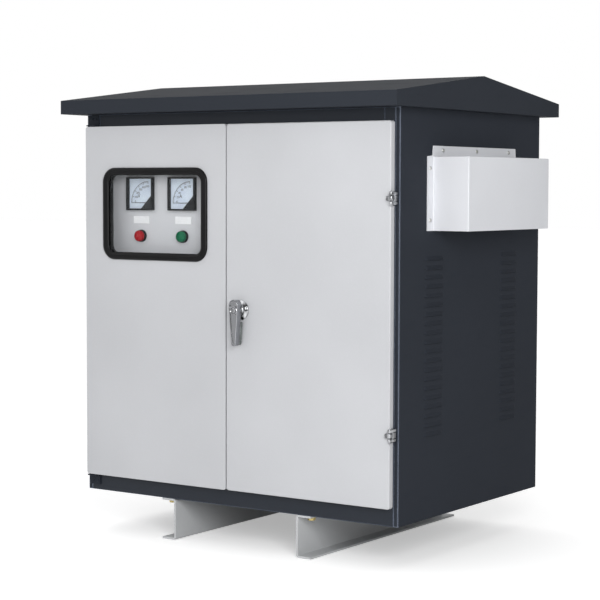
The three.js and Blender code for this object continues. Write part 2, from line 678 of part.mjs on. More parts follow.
// An angle bracket on the front post with a pin into the door's top (away = 1) or bottom (-1) wall.
function pivotBracket(doorEdgeZ, away) {
  const face = doorEdgeZ + away * PIVOT_CLEAR_OF_DOOR;
  const x = [PIVOT_X - PIVOT_BRACKET_WIDTH / 4, PIVOT_X + PIVOT_BRACKET_WIDTH * 0.75];
  const back = [-GAP - PIVOT_BRACKET_THICKNESS, -GAP];
  const plate = block(x, back, [face, face + away * PIVOT_BRACKET_HEIGHT]);
  const tongueFront = PIVOT_Y - PIVOT_PIN_RADIUS - SHEET;
  const tongue = block(x, [tongueFront, -GAP], [face, face + away * PIVOT_BRACKET_THICKNESS]);
  const pinEnds = [face + away, doorEdgeZ - away * PIVOT_PIN_REACH].sort((a, b) => a - b);
  return joined(plate, tongue, cylinderAlongZ(PIVOT_X, PIVOT_Y, PIVOT_PIN_RADIUS, pinEnds));
}

// ---- Hinges of the right door -------------------------------------------------------------------

// Fixed half: a foot on the post, the two outer knuckles and the pin between them.
function hingeFrameLeaf(side, z) {
  const pinX = side * HINGE_PIN_X;
  const height = centred(z, HINGE_LENGTH);
  const footX = [pinX - side * KNUCKLE_RADIUS / 2, side * (HALF_WIDTH - GAP)];
  const stem = block(footX, [HINGE_PIN_Y, -GAP], height);
  const knuckles = cylinderAlongZ(pinX, HINGE_PIN_Y, KNUCKLE_RADIUS, height);
  const middle = centred(z, MIDDLE_KNUCKLE + 2 * GAP);
  const clear = cylinderAlongZ(pinX, HINGE_PIN_Y, KNUCKLE_RADIUS + 2 * GAP, middle);
  const pin = cylinderAlongZ(pinX, HINGE_PIN_Y, HINGE_PIN_RADIUS, height, 12);
  return joined(cut(joined(stem, knuckles), clear), pin);
}

// Moving half: a plate on the door skin whose arm reaches round the pin.
function hingeDoorLeaf(side, z) {
  const pinX = side * HINGE_PIN_X;
  const edge = side * (DOOR_EDGE_X - DOOR_LEAF_EDGE);
  const plateFront = DOOR_FRONT_Y - GAP - HINGE_LEAF_THICKNESS;
  const plateX = [edge, edge - side * DOOR_LEAF_WIDTH];
  const plate = block(plateX, [plateFront, DOOR_FRONT_Y - GAP], centred(z, HINGE_LENGTH));
  const middle = centred(z, MIDDLE_KNUCKLE);
  const armX = [edge - side * DOOR_LEAF_WIDTH / 2, pinX];
  const arm = block(armX, [HINGE_PIN_Y - KNUCKLE_RADIUS, plateFront + 1], middle);
  const knuckle = cylinderAlongZ(pinX, HINGE_PIN_Y, KNUCKLE_RADIUS, middle);
  const bore = cylinderAlongZ(pinX, HINGE_PIN_Y, HINGE_PIN_RADIUS + GAP, centred(z, HINGE_LENGTH), 12);
  return cut(joined(plate, arm, knuckle), bore);
}

// ---- Instruments --------------------------------------------------------------------------------

function instrumentPlate() {
  const left = -INNER_HALF_WIDTH + SHEET + GAP;
  const span = [PLATE_FRONT_Y, PLATE_FRONT_Y + PLATE_THICKNESS];
  const top = CABINET_HEIGHT - GAP;
  const through = [span[0] - 1, span[1] + 1];
  const holes = METER_COLUMNS.flatMap((x) => [
    cylinderAlongY(x, METER_CENTRE_Z, METER_BARREL_RADIUS + GAP, through, 24),
    cylinderAlongY(x, LAMP_CENTRE_Z, LAMP_BARREL_RADIUS + GAP, through),
  ]);
  return cut(block([left, PLATE_RIGHT_X], span, [PLATE_BOTTOM_Z, top]), ...holes);
}

const METER_POCKET = METER_SIZE - 2 * METER_WALL;
const METER_POCKET_DEPTH = METER_STAND_OUT - METER_WALL / 2;

// The right triangle in the pocket's lower right corner that covers the movement.
function cornerTriangle(x, leg, cornerInset) {
  const right = x + METER_POCKET / 2 - cornerInset;
  const low = METER_CENTRE_Z - METER_POCKET / 2 + cornerInset;
  return outline([[right, low], [right, low + leg], [right - leg, low]]);
}

function meterCase(x) {
  const front = METER_FRONT_Y;
  const body = block(centred(x, METER_SIZE), [front, front + METER_STAND_OUT], centred(METER_CENTRE_Z, METER_SIZE));
  const barrelSpan = [front + METER_STAND_OUT - 1, PLATE_FRONT_Y + METER_BARREL_LENGTH];
  const barrel = cylinderAlongY(x, METER_CENTRE_Z, METER_BARREL_RADIUS, barrelSpan, 24);
  const pocketSpan = [front - 1, front + METER_POCKET_DEPTH];
  const pocket = block(centred(x, METER_POCKET), pocketSpan, centred(METER_CENTRE_Z, METER_POCKET));
  const ledge = METER_POCKET + 2 * METER_LENS_LEDGE;
  const rebateSpan = [front - 1, front + METER_LENS_THICKNESS + 2 * GAP];
  const rebate = block(centred(x, ledge), rebateSpan, centred(METER_CENTRE_Z, ledge));
  const coverFront = rebateSpan[1] + GAP;
  const coverSpan = [coverFront, coverFront + MOVEMENT_COVER_THICKNESS];
  const overlap = METER_WALL / 2;
  const cover = sweptAlongY(cornerTriangle(x, MOVEMENT_COVER_LEG + overlap, -overlap), coverSpan);
  return joined(cut(joined(body, barrel), pocket, rebate), cover);
}

function meterDial(x) {
  const back = METER_FRONT_Y + METER_POCKET_DEPTH - GAP;
  const span = [back - DIAL_THICKNESS, back];
  const size = METER_POCKET - 2 * GAP;
  const plate = block(centred(x, size), span, centred(METER_CENTRE_Z, size));
  return cut(plate, sweptAlongY(cornerTriangle(x, METER_WALL * 3, 0), [span[0] - 1, span[1] + 1]));
}

function meterLens(x) {
  const size = METER_POCKET + 2 * METER_LENS_LEDGE - 2 * GAP;
  const span = [METER_FRONT_Y + GAP, METER_FRONT_Y + GAP + METER_LENS_THICKNESS];
  return block(centred(x, size), span, centred(METER_CENTRE_Z, size));
}

// The needle lies along -x at zero and turns up to +z at full scale.
function meterNeedle(x) {
  const pivotX = x + METER_POCKET / 2 - PIVOT_INSET;
  const pivotZ = METER_CENTRE_Z - METER_POCKET / 2 + PIVOT_INSET;
  const back = METER_FRONT_Y + METER_POCKET_DEPTH - GAP - DIAL_THICKNESS - 1;
  const blade = outline([
    [pivotX, pivotZ + 1],
    [pivotX - NEEDLE_LENGTH, pivotZ + 0.4],
    [pivotX - NEEDLE_LENGTH, pivotZ - 0.4],
    [pivotX, pivotZ - 1],
  ]);
  const hub = cylinderAlongY(pivotX, pivotZ, NEEDLE_HUB_RADIUS, [back - 2 * NEEDLE_THICKNESS, back], 12);
  return joined(sweptAlongY(blade, [back - 1.5 * NEEDLE_THICKNESS, back - 0.5 * NEEDLE_THICKNESS]), hub);
}

function labelPlate(x) {
  const front = PLATE_FRONT_Y - GAP - LABEL_THICKNESS;
  return block(centred(x, LABEL_WIDTH), [front, PLATE_FRONT_Y - GAP], centred(LABEL_CENTRE_Z, LABEL_HEIGHT));
}

function lampBezel(x) {
  const seat = LAMP_RIM_STAND_OUT - LAMP_LENS_SEAT;
  const profile = [
    [0, -LAMP_BARREL_LENGTH],
    [LAMP_BARREL_RADIUS, -LAMP_BARREL_LENGTH],
    [LAMP_BARREL_RADIUS, 0],
    [LAMP_RIM_RADIUS, 0],
    [LAMP_RIM_RADIUS, seat],
    [LAMP_RIM_RADIUS - 1.5, LAMP_RIM_STAND_OUT],
    [LAMP_LENS_RADIUS + GAP, LAMP_RIM_STAND_OUT],
    [LAMP_LENS_RADIUS + GAP, seat],
    [0, seat],
  ];
  return turnedForward(profile, x, PLATE_FRONT_Y - GAP, LAMP_CENTRE_Z);
}

function lampLens(x) {
  const foot = LAMP_RIM_STAND_OUT - LAMP_LENS_SEAT + GAP;
  const top = LAMP_RIM_STAND_OUT + LAMP_LENS_STAND_OUT;
  const profile = [
    [0, foot],
    [LAMP_LENS_RADIUS, foot],
    [LAMP_LENS_RADIUS, LAMP_RIM_STAND_OUT + 2],
    [LAMP_LENS_RADIUS * 0.85, top - 3],
    [LAMP_LENS_RADIUS * 0.5, top - 0.8],
    [0, top],
  ];
  return turnedForward(profile, x, PLATE_FRONT_Y - GAP, LAMP_CENTRE_Z);
}

// ---- Cable entry --------------------------------------------------------------------------------

// A folded hood, open at the bottom and towards the cabinet, with side flanges and a top tab.
function cableHood() {
  const wall = HALF_WIDTH + GAP;
  const front = wall + HOOD_STAND_OUT;
  const z = [HOOD_BOTTOM_Z, HOOD_TOP_Z];
  const shell = block([wall, front], [HOOD_FRONT_Y, HOOD_REAR_Y], z);
  const hollowY = [HOOD_FRONT_Y + SHEET, HOOD_REAR_Y - SHEET];
  const hollow = block([wall - 1, front - SHEET], hollowY, [HOOD_BOTTOM_Z - 1, HOOD_TOP_Z - SHEET]);
  const flangeX = [wall, wall + SHEET];
  const sideFlanges = [
    block(flangeX, [HOOD_FRONT_Y - HOOD_SIDE_FLANGE, HOOD_FRONT_Y + SHEET], z),
    block(flangeX, [HOOD_REAR_Y - SHEET, HOOD_REAR_Y + HOOD_SIDE_FLANGE], z),
  ];
  const topTab = block(flangeX, [HOOD_FRONT_Y, HOOD_REAR_Y], [HOOD_TOP_Z - SHEET, HOOD_TOP_Z + HOOD_TOP_TAB]);
  return joined(cut(shell, hollow), ...sideFlanges, topTab);
}

function glandPlate() {
  const slot = cableSlot();
  const lapped = (span) => [span[0] - GLAND_PLATE_LAP, span[1] + GLAND_PLATE_LAP];
  const face = HALF_WIDTH - SHEET - GAP;
  const plate = block([face - SHEET, face], lapped(slot.y), lapped(slot.z));
  const pitch = (slot.y[1] - slot.y[0]) / GLAND_COUNT;
  const holes = Array.from({ length: GLAND_COUNT }, (_, i) => {
    const geometry = new THREE.CylinderGeometry(GLAND_HOLE_RADIUS, GLAND_HOLE_RADIUS, 4 * SHEET, 16);
    geometry.rotateZ(Math.PI / 2);
    geometry.translate(face, slot.y[0] + (i + 0.5) * pitch, (slot.z[0] + slot.z[1]) / 2);
    return solid(geometry);
  });
  return cut(plate, ...holes);
}

// ---- Transformer --------------------------------------------------------------------------------

const STACK_Y = centred(TRANSFORMER_CENTRE_Y, STACK_DEPTH);
const LIMBS = { a: -LIMB_PITCH, b: 0, c: LIMB_PITCH };

// Lower yoke and the three limbs, stacked from one set of laminations.
function coreLegs() {
  const across = [-CORE_HALF_LENGTH, CORE_HALF_LENGTH];
  const whole = block(across, STACK_Y, [CORE_BOTTOM_Z, CORE_WINDOW_TOP_Z]);
  const windowSpan = [CORE_WINDOW_BOTTOM_Z, CORE_WINDOW_TOP_Z + 1];
  const gaps = [-0.5, 0.5].map((step) => {
    const x = centred(step * LIMB_PITCH, LIMB_PITCH - LIMB_WIDTH);
    return block(x, [STACK_Y[0] - 1, STACK_Y[1] + 1], windowSpan);
  });
  return cut(whole, ...gaps);
}

function coreYoke() {
  return block([-CORE_HALF_LENGTH, CORE_HALF_LENGTH], STACK_Y, [CORE_WINDOW_TOP_Z + GAP, CORE_TOP_Z]);
}

function winding(x) {
  const bottom = CORE_WINDOW_BOTTOM_Z + WINDING_END_CLEARANCE;
  const top = CORE_WINDOW_TOP_Z - WINDING_END_CLEARANCE;
  const outside = cylinderAlongZ(x, TRANSFORMER_CENTRE_Y, WINDING_RADIUS, [bottom, top], 32);
  return cut(outside, cylinderAlongZ(x, TRANSFORMER_CENTRE_Y, WINDING_BORE, [bottom - 1, top + 1], 32));
}

// A channel along the yoke, its web against the laminations and its flanges turned outwards.
function coreClamp(face, bottom, top) {
  const edge = TRANSFORMER_CENTRE_Y + face * (STACK_DEPTH / 2 + GAP);
  const tip = edge + face * CLAMP_FLANGE;
  const shape = outline([
    [edge, bottom],
    [tip, bottom],
    [tip, bottom + CLAMP_WALL],
    [edge + face * CLAMP_WALL, bottom + CLAMP_WALL],
    [edge + face * CLAMP_WALL, top - CLAMP_WALL],
    [tip, top - CLAMP_WALL],
    [tip, top],
    [edge, top],
  ]);
  return sweptAlongX(shape, [-CLAMP_HALF_LENGTH, CLAMP_HALF_LENGTH]);
}

function terminalBoard() {
  const edge = STACK_Y[0] - GAP - CLAMP_FLANGE / 2;
  const y = centred(edge, TERMINAL_BOARD_THICKNESS);
  const foot = CORE_TOP_Z + GAP;
  const boardBottom = foot + TERMINAL_LEG_HEIGHT;
  const boardZ = [boardBottom, boardBottom + TERMINAL_BOARD_HEIGHT];
  const board = block(centred(0, TERMINAL_BOARD_WIDTH), y, boardZ);
  const legs = [-1, 1].map((side) => {
    const x = side * (TERMINAL_BOARD_WIDTH / 2 - TERMINAL_LEG_WIDTH);
    return block(centred(x, TERMINAL_LEG_WIDTH), y, [foot, boardBottom + 1]);
  });
  return joined(board, ...legs);
}

function earthBar() {
  const [thick, high] = EARTH_BAR_SECTION;
  const back = INNER_REAR_Y - SHEET - GAP;
  const bar = [back - EARTH_BAR_STAND_OFF - thick, back - EARTH_BAR_STAND_OFF];
  const z = [FLOOR_THICKNESS + GAP, FLOOR_THICKNESS + GAP + high];
  const feet = [-1, 1].map((side) => {
    const x = side * (EARTH_BAR_LENGTH / 2 - high);
    return block(centred(x, high / 2), [bar[1] - 1, back], z);
  });
  return joined(block(centred(0, EARTH_BAR_LENGTH), bar, z), ...feet);
}

// ---- Assembly -----------------------------------------------------------------------------------

for (const [name, side] of Object.entries(SIDES)) {
  piece(`skid_${name}`, skid(side), skidPaint());
  piece(`front_post_${name}`, frontPost(side), darkPaint());
  piece(`rear_post_${name}`, rearPost(side), darkPaint());
}
piece("floor_tray", floorTray(), darkPaint());
piece("front_top_rail", frontTopRail(), darkPaint());
piece("side_panel_left", sidePanel(SIDES.left), darkPaint());
piece("side_panel_right", sidePanelWithCableSlot(), darkPaint());
piece("rear_panel", rearPanel(), darkPaint());
piece("roof_soffit", roofSoffit(), darkPaint());
piece("roof_canopy", roofCanopy(), darkPaint());

piece("left_door", leftDoor(), lightPaint());
piece("right_door", rightDoor(), lightPaint());
for (const [name, span] of Object.entries(DOOR_SPANS)) {
  piece(`${name}_door_seal`, doorSeal(span), rubber());
}
piece("window_gasket", windowGasket(), rubber());
piece("window_glass", windowGlass(), clearGlass());

piece("handle_escutcheon", handleEscutcheon(), chrome());
piece("handle_lever", handleLever(), chrome());
piece("key_cylinder", keyCylinder(), chrome());
piece("lock_cam", lockCam(), zincSteel());

piece("pivot_left_upper", pivotBracket(DOOR_TOP_Z, 1), darkPaint());
piece("pivot_left_lower", pivotBracket(DOOR_BOTTOM_Z, -1), darkPaint());
for (const [level, z] of Object.entries(HINGE_HEIGHTS)) {
  piece(`hinge_right_${level}_frame_leaf`, hingeFrameLeaf(SIDES.right, z), chrome());
  piece(`hinge_right_${level}_door_leaf`, hingeDoorLeaf(SIDES.right, z), chrome());
}

piece("instrument_plate", instrumentPlate(), platePaint());
["voltmeter", "ammeter"].forEach((name, i) => {
  const x = METER_COLUMNS[i];
  piece(`${name}_case`, meterCase(x), blackPlastic());
  piece(`${name}_dial`, meterDial(x), dialPlastic());
  piece(`${name}_lens`, meterLens(x), clearGlass());
  piece(`${name}_needle`, meterNeedle(x), blackPlastic());
});
[["red", redLens], ["green", greenLens]].forEach(([name, lens], i) => {
  const x = METER_COLUMNS[i];
  piece(`${name}_lamp_label`, labelPlate(x), labelPlastic());
  piece(`${name}_lamp_bezel`, lampBezel(x), blackPlastic());
  piece(`${name}_lamp_lens`, lampLens(x), lens());
});

piece("cable_hood", cableHood(), lightPaint());
piece("gland_plate", glandPlate(), zincSteel());

piece("core_legs", coreLegs(), coreSteel());
piece("core_yoke", coreYoke(), coreSteel());
for (const [phase, x] of Object.entries(LIMBS)) {
  piece(`winding_${phase}`, winding(x), windingResin());
}
for (const [name, face] of Object.entries({ front: -1, rear: 1 })) {
  const lower = [FLOOR_THICKNESS + GAP, CORE_WINDOW_BOTTOM_Z];
  const upper = [CORE_WINDOW_TOP_Z, CORE_TOP_Z];
  piece(`lower_clamp_${name}`, coreClamp(face, ...lower), clampPaint());
  piece(`upper_clamp_${name}`, coreClamp(face, ...upper), clampPaint());
}
piece("terminal_board", terminalBoard(), insulationBoard());
piece("earth_bar", earthBar(), copper());

// The object's own base: the middle of its widest outline, at the height the skids stand on.
const cabinet = new THREE.Group();
cabinet.add(...pieces);
const westmost = -ROOF_X;
const eastmost = HALF_WIDTH + GAP + HOOD_STAND_OUT;
cabinet.position.set(-(westmost + eastmost) / 2, -(ROOF_Y[0] + ROOF_Y[1]) / 2, SKID_HEIGHT);

const transformerCabinet = new THREE.Group();
transformerCabinet.add(cabinet);

export default transformerCabinet;
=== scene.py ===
import math

import bmesh
import bpy
from mathutils import Matrix, Vector


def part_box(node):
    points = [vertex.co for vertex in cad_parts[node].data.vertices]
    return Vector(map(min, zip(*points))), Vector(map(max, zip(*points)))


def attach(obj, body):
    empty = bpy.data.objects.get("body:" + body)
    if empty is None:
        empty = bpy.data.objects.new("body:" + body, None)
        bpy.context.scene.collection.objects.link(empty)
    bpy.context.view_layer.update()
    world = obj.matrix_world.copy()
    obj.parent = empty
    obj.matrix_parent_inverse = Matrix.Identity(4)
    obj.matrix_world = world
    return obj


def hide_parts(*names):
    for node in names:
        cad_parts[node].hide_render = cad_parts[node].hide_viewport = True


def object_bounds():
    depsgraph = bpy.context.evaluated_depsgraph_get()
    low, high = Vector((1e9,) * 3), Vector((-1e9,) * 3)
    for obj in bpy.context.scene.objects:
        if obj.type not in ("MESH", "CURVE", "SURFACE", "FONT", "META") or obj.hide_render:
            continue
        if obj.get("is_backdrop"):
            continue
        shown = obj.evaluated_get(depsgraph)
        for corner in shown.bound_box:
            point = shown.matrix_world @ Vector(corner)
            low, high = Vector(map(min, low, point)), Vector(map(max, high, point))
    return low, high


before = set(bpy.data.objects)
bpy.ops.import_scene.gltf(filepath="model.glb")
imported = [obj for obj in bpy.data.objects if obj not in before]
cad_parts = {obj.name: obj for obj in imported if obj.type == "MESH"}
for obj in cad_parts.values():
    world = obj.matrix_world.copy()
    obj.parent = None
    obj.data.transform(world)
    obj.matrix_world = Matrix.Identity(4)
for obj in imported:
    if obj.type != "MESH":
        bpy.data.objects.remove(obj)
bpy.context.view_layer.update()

# ---- Camera, light and floor --------------------------------------------------------------------
# A long lens looks at the doors from the right, a little below the eaves. The room is a white
# studio, dimmer on the cable hood's side, with a wide soft light in front. Room and floor look
# whiter than the light they give.

scene = bpy.context.scene
scene.view_settings.view_transform = "Standard"

yaw, pitch, roll = -0.6015, -0.0629, 0.0029
ahead = Vector((math.sin(yaw) * math.cos(pitch), math.cos(yaw) * math.cos(pitch), math.sin(pitch)))
level = Vector((math.cos(yaw), -math.sin(yaw), 0))
upright = level.cross(ahead)
across = level * math.cos(roll) + upright * math.sin(roll)
lifted = upright * math.cos(roll) - level * math.sin(roll)
lens = bpy.data.cameras.new("camera")
lens.lens = 106.43
lens.sensor_width = 36
lens.clip_end = 100
camera = bpy.data.objects.new("camera", lens)
turn = Matrix((across, lifted, -ahead)).transposed().to_4x4()
camera.matrix_world = Matrix.Translation((2.43375, -3.6446, 0.8477)) @ turn
scene.collection.objects.link(camera)
scene.camera = camera


class Wire:
    """One socket of a finish. Arithmetic on it adds Math nodes."""

    def __init__(self, finish, socket):
        self.finish = finish
        self.socket = socket

    def out(self, name):
        return Wire(self.finish, self.socket.node.outputs[name])

    def maths(self, operation, *values, clamp=False):
        settings = {"operation": operation, "use_clamp": clamp}
        return self.finish.node("ShaderNodeMath", settings, dict(enumerate(values)))

    def __add__(self, other):
        return self.maths("ADD", self, other)

    def __sub__(self, other):
        return self.maths("SUBTRACT", self, other)

    def __rsub__(self, other):
        return self.maths("SUBTRACT", other, self)

    def __mul__(self, other):
        return self.maths("MULTIPLY", self, other)

    def __truediv__(self, other):
        return self.maths("DIVIDE", self, other)

    def __rtruediv__(self, other):
        return self.maths("DIVIDE", other, self)

    def __lt__(self, other):
        return self.maths("LESS_THAN", self, other)

    def __gt__(self, other):
        return self.maths("GREATER_THAN", self, other)

    __radd__ = __add__
    __rmul__ = __mul__

    def clamped(self):
        return self.maths("ADD", self, 0.0, clamp=True)

    def sine(self):
        return self.maths("SINE", self)

    def at_least(self, other):
        return self.maths("MAXIMUM", self, other)

    def between(self, low, high):
        """0 below low, 1 above high, straight in between."""
        return ((self - low) / (high - low)).clamped()


class Finish:
    """A new material, or the room's own nodes, built up node by node."""

    def __init__(self, name, room=None):
        self.material = room or bpy.data.materials.new(name)
        self.material.use_nodes = True
        self.tree = self.material.node_tree
        self.tree.nodes.clear()
        self.place = self.node("ShaderNodeTexCoord").out("Object")

    def node(self, kind, settings=None, values=None):
        made = self.tree.nodes.new(kind)
        for name, setting in (settings or {}).items():
            setattr(made, name, setting)
        for name, value in (values or {}).items():
            if isinstance(value, Wire):
                self.tree.links.new(value.socket, made.inputs[name])
            else:
                made.inputs[name].default_value = value
        outlets = [socket for socket in made.outputs if socket.enabled]
        return Wire(self, outlets[0]) if outlets else None

    def noise(self, scale, detail=2.0, roughness=0.5, at=None):
        values = {"Vector": at or self.place, "Scale": scale, "Detail": detail, "Roughness": roughness}
        return self.node("ShaderNodeTexNoise", {}, values)

    def stretched(self, scale):
        """Object coordinates scaled differently along x, y and z."""
        return self.node("ShaderNodeMapping", {}, {"Vector": self.place, "Scale": scale})

    def part(self, axis):
        return self.node("ShaderNodeSeparateXYZ", {}, {"Vector": self.place}).out(axis)

    def blend(self, factor, first, second):
        values = {0: factor, 6: first, 7: second}
        return self.node("ShaderNodeMix", {"data_type": "RGBA"}, values)

    def edges(self, radius, gain=6.0):
        """1 on outer and inner edges, 0 on flat faces."""
        rounded = self.node("ShaderNodeBevel", {"samples": 4}, {"Radius": radius})
        normal = self.node("ShaderNodeNewGeometry").out("Normal")
        settings = {"operation": "DOT_PRODUCT"}
        match = self.node("ShaderNodeVectorMath", settings, {0: rounded, 1: normal}).out("Value")
        return ((1 - match) * gain).clamped()

    def bumps(self, height, distance, strength=1.0, over=None):
        values = {"Height": height, "Distance": distance, "Strength": strength}
        if over is not None:
            values["Normal"] = over
        return self.node("ShaderNodeBump", {}, values)

    def surface(self, **values):
        """Closes the material with a Principled shader; value names use _ for spaces."""
        named = {name.replace("_", " "): value for name, value in values.items()}
        shader = self.node("ShaderNodeBsdfPrincipled", {}, named)
        self.node("ShaderNodeOutputMaterial", {}, {"Surface": shader})
        return self


studio = bpy.data.worlds.new("studio")
room = Finish("studio", studio)
bearing = room.node("ShaderNodeSeparateXYZ", {}, {"Vector": room.place.out("Generated")}).out("X")
dimming = 1.0 - bearing.between(-0.05, 0.5) * 0.82
seen = room.node("ShaderNodeLightPath").out("Is Camera Ray")
strength = dimming.at_least(seen)
glow = room.node("ShaderNodeBackground", {}, {"Color": (1.0, 1.0, 1.0, 1), "Strength": strength})
room.node("ShaderNodeOutputWorld", {}, {"Surface": glow})
scene.world = studio


def soft_light(name, place, aim, size, watts):
    lamp = bpy.data.lights.new(name, "AREA")
    lamp.shape = "SQUARE"
    lamp.size = size
    lamp.energy = watts
    light = bpy.data.objects.new(name, lamp)
    light.location = place
    light.rotation_euler = (Vector(aim) - Vector(place)).to_track_quat("-Z", "Y").to_euler()
    scene.collection.objects.link(light)


soft_light("front_light", (2.7, -3.1, 1.7), (0.3, -0.2, 0.7), 1.6, 106)
soft_light("hood_light", (4.4, -1.2, 1.1), (0.3, 0.0, 0.6), 1.6, 8)

floor_mesh = bmesh.new()
bmesh.ops.create_grid(floor_mesh, x_segments=4, y_segments=4, size=30)
floor_data = bpy.data.meshes.new("floor")
floor_mesh.to_mesh(floor_data)
floor_mesh.free()
floor = bpy.data.objects.new("floor", floor_data)
floor.location = (0, 0, -0.0005)
pale = Finish("pale_floor")
seen = pale.node("ShaderNodeLightPath").out("Is Camera Ray")
pale.surface(Base_Color=(0.92, 0.92, 0.92, 1), Roughness=0.9, Emission_Color=seen * 0.34 + 0.04,
             Emission_Strength=1.0)
floor_data.materials.append(pale.material)
scene.collection.objects.link(floor)
floor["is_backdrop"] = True

# ---- Skids --------------------------------------------------------------------------------------
# Two channels bent from 5 mm steel plate, open sides outwards, painted grey. Four zinc-plated
# bolts hold each one to the floor tray, with their heads under its top flange.

# Every piece is drawn in millimetres from the middle of the housing's front foot.
post_low, post_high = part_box("front_post_left")[0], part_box("front_post_right")[1]
HOUSING_FOOT = Vector(((post_low.x + post_high.x) / 2, post_low.y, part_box("floor_tray")[0].z))
HOUSING = Matrix.Translation(HOUSING_FOOT) @ Matrix.Scale(0.001, 4)
TO_FRONT = Matrix.Rotation(math.radians(90), 4, "X")
TO_REAR = Matrix.Rotation(math.radians(-90), 4, "X")
TO_RIGHT = Matrix.Rotation(math.radians(90), 4, "Y")
DOWNWARDS = Matrix.Rotation(math.radians(180), 4, "X")
UPWARDS = Matrix.Identity(4)


def tint(colour, factor):
    return tuple(min(channel * factor, 1.0) for channel in colour[:3]) + (1.0,)


def powder_coat(name, colour, sheen=0.42, grain=900.0, depth=0.00006, wear=0.35, gloss=0.4, fold_highlight=0.0):
    """Baked powder paint on steel: orange peel, faint clouds, dust, and thin edges worn lighter.

    Its last argument is the strength of a highlight painted along the folds at the front, lighter colour
    that stands in for light on the bends.
    """
    coat = Finish(name)
    clouds = coat.noise(2.6, 3.0)
    specks = coat.noise(grain * 0.6, 1.0)
    peel = coat.noise(grain, 2.0, 0.6)
    swell = coat.noise(grain * 0.16, 1.0)
    tone = coat.blend(clouds.between(0.3, 0.7), tint(colour, 0.95), tint(colour, 1.05))
    tone = coat.blend(specks.between(0.58, 0.72) * 0.16, tone, tint(colour, 1.25))
    worn = coat.edges(0.0012) * coat.noise(55.0, 4.0, 0.7).between(0.42, 0.62)
    tone = coat.blend(worn * wear, tone, tint(colour, 1.9))
    if fold_highlight:
        # Painted highlight: the paint is made lighter along the front folds, standing in for light
        # catching the bends.
        painted_fold_highlight = coat.edges(0.003, 14.0) * (coat.part("Y") < HOUSING_FOOT.y + 0.004)
        tone = coat.blend(painted_fold_highlight * fold_highlight, tone, tint(colour, 8.0))
    scuffs = coat.noise(1.0, 5.0, 0.65, coat.stretched((9.0, 9.0, 34.0))).between(0.55, 0.75)
    rough = sheen + clouds * 0.08 + scuffs * 0.08 - worn * 0.1
    normal = coat.bumps(peel + swell * 1.4, depth)
    return coat.surface(Base_Color=tone, Roughness=rough, Normal=normal, Specular_IOR_Level=gloss)


def zinc_plate(name, colour, rough=0.32):
    """Zinc plating: bright, faintly mottled and brushed."""
    plate = Finish(name)
    mottle = plate.noise(240.0, 3.0, 0.6)
    streaks = plate.noise(1.0, 3.0, 0.6, plate.stretched((1400.0, 90.0, 1400.0)))
    tone = plate.blend(mottle.between(0.3, 0.7), tint(colour, 0.8), tint(colour, 1.12))
    dull = plate.edges(0.0008) * 0.5
    tone = plate.blend(dull, tone, tint(colour, 0.55))
    roughness = rough + mottle * 0.16 + streaks * 0.06
    normal = plate.bumps(streaks + mottle, 0.00002)
    return plate.surface(Base_Color=tone, Metallic=1.0, Roughness=roughness, Normal=normal)


def grown(mesh, before, matrix):
    """Moves what was added to a mesh since before."""
    added = [vert for vert in mesh.verts if vert not in before]
    bmesh.ops.transform(mesh, matrix=matrix, verts=added)
    return added


def corners_of(geometry):
    return [item for item in geometry if isinstance(item, bmesh.types.BMVert)]


def edges_of(geometry):
    return [item for item in geometry if isinstance(item, bmesh.types.BMEdge)]


def closed(mesh):
    """A mesh with every closed shell's faces turned outwards."""
    bmesh.ops.recalc_face_normals(mesh, faces=mesh.faces)
    return mesh


def rounded(mesh, edges, width, steps, clamp=True):
    bmesh.ops.bevel(mesh, geom=edges, offset=width, offset_type="OFFSET", segments=steps, profile=0.5,
                    affect="EDGES", clamp_overlap=clamp, material=-1)


def block(mesh, x, y, z, rounding=0.0, steps=2):
    """A block over three spans, its edges rounded."""
    size = Vector((x[1] - x[0], y[1] - y[0], z[1] - z[0]))
    middle = Vector(((x[0] + x[1]) / 2, (y[0] + y[1]) / 2, (z[0] + z[1]) / 2))
    matrix = Matrix.Translation(middle) @ Matrix.Diagonal((*size, 1))
    corners = bmesh.ops.create_cube(mesh, size=1, matrix=matrix)["verts"]
    if rounding:
        edges = list({edge for vert in corners for edge in vert.link_edges})
        rounded(mesh, edges, rounding, steps)


def turned(mesh, profile, at, direction=UPWARDS, steps=32):
    """A profile of (radius, height) spun about the direction's line through at."""
    before = set(mesh.verts)
    ring = [mesh.verts.new((radius, 0, height)) for radius, height in profile]
    line = [mesh.edges.new(pair) for pair in zip(ring, ring[1:])]
    bmesh.ops.spin(mesh, geom=ring + line, cent=(0, 0, 0), axis=(0, 0, 1), angle=math.tau,
                   steps=steps, use_merge=True)
    added = grown(mesh, before, Matrix.Translation(at) @ direction)
    bmesh.ops.remove_doubles(mesh, verts=added, dist=0.002)


def hexagon(mesh, across_flats, heights, at, direction=UPWARDS):
    """A hexagon head or nut with softened corners."""
    before = set(mesh.verts)
    depth = heights[1] - heights[0]
    radius = across_flats / math.sqrt(3)
    lift = Matrix.Translation((0, 0, (heights[0] + heights[1]) / 2))
    made = bmesh.ops.create_cone(mesh, cap_ends=True, segments=6, radius1=radius, radius2=radius,
                                 depth=depth, matrix=lift)["verts"]
    rims = [edge for edge in {edge for vert in made for edge in vert.link_edges}
            if abs(edge.verts[0].co.z - edge.verts[1].co.z) < 0.01]
    rounded(mesh, rims, depth * 0.12, 2, clamp=False)
    grown(mesh, before, Matrix.Translation(at) @ direction)


def bolted(mesh, size, at, direction):
    """A hexagon bolt head on its washer; size is the thread."""
    washer = size * 0.2
    turned(mesh, [(0, 0), (size, 0), (size, washer), (0, washer)], at, direction, 20)
    hexagon(mesh, size * 1.6, (washer, washer + size * 0.64), at, direction)


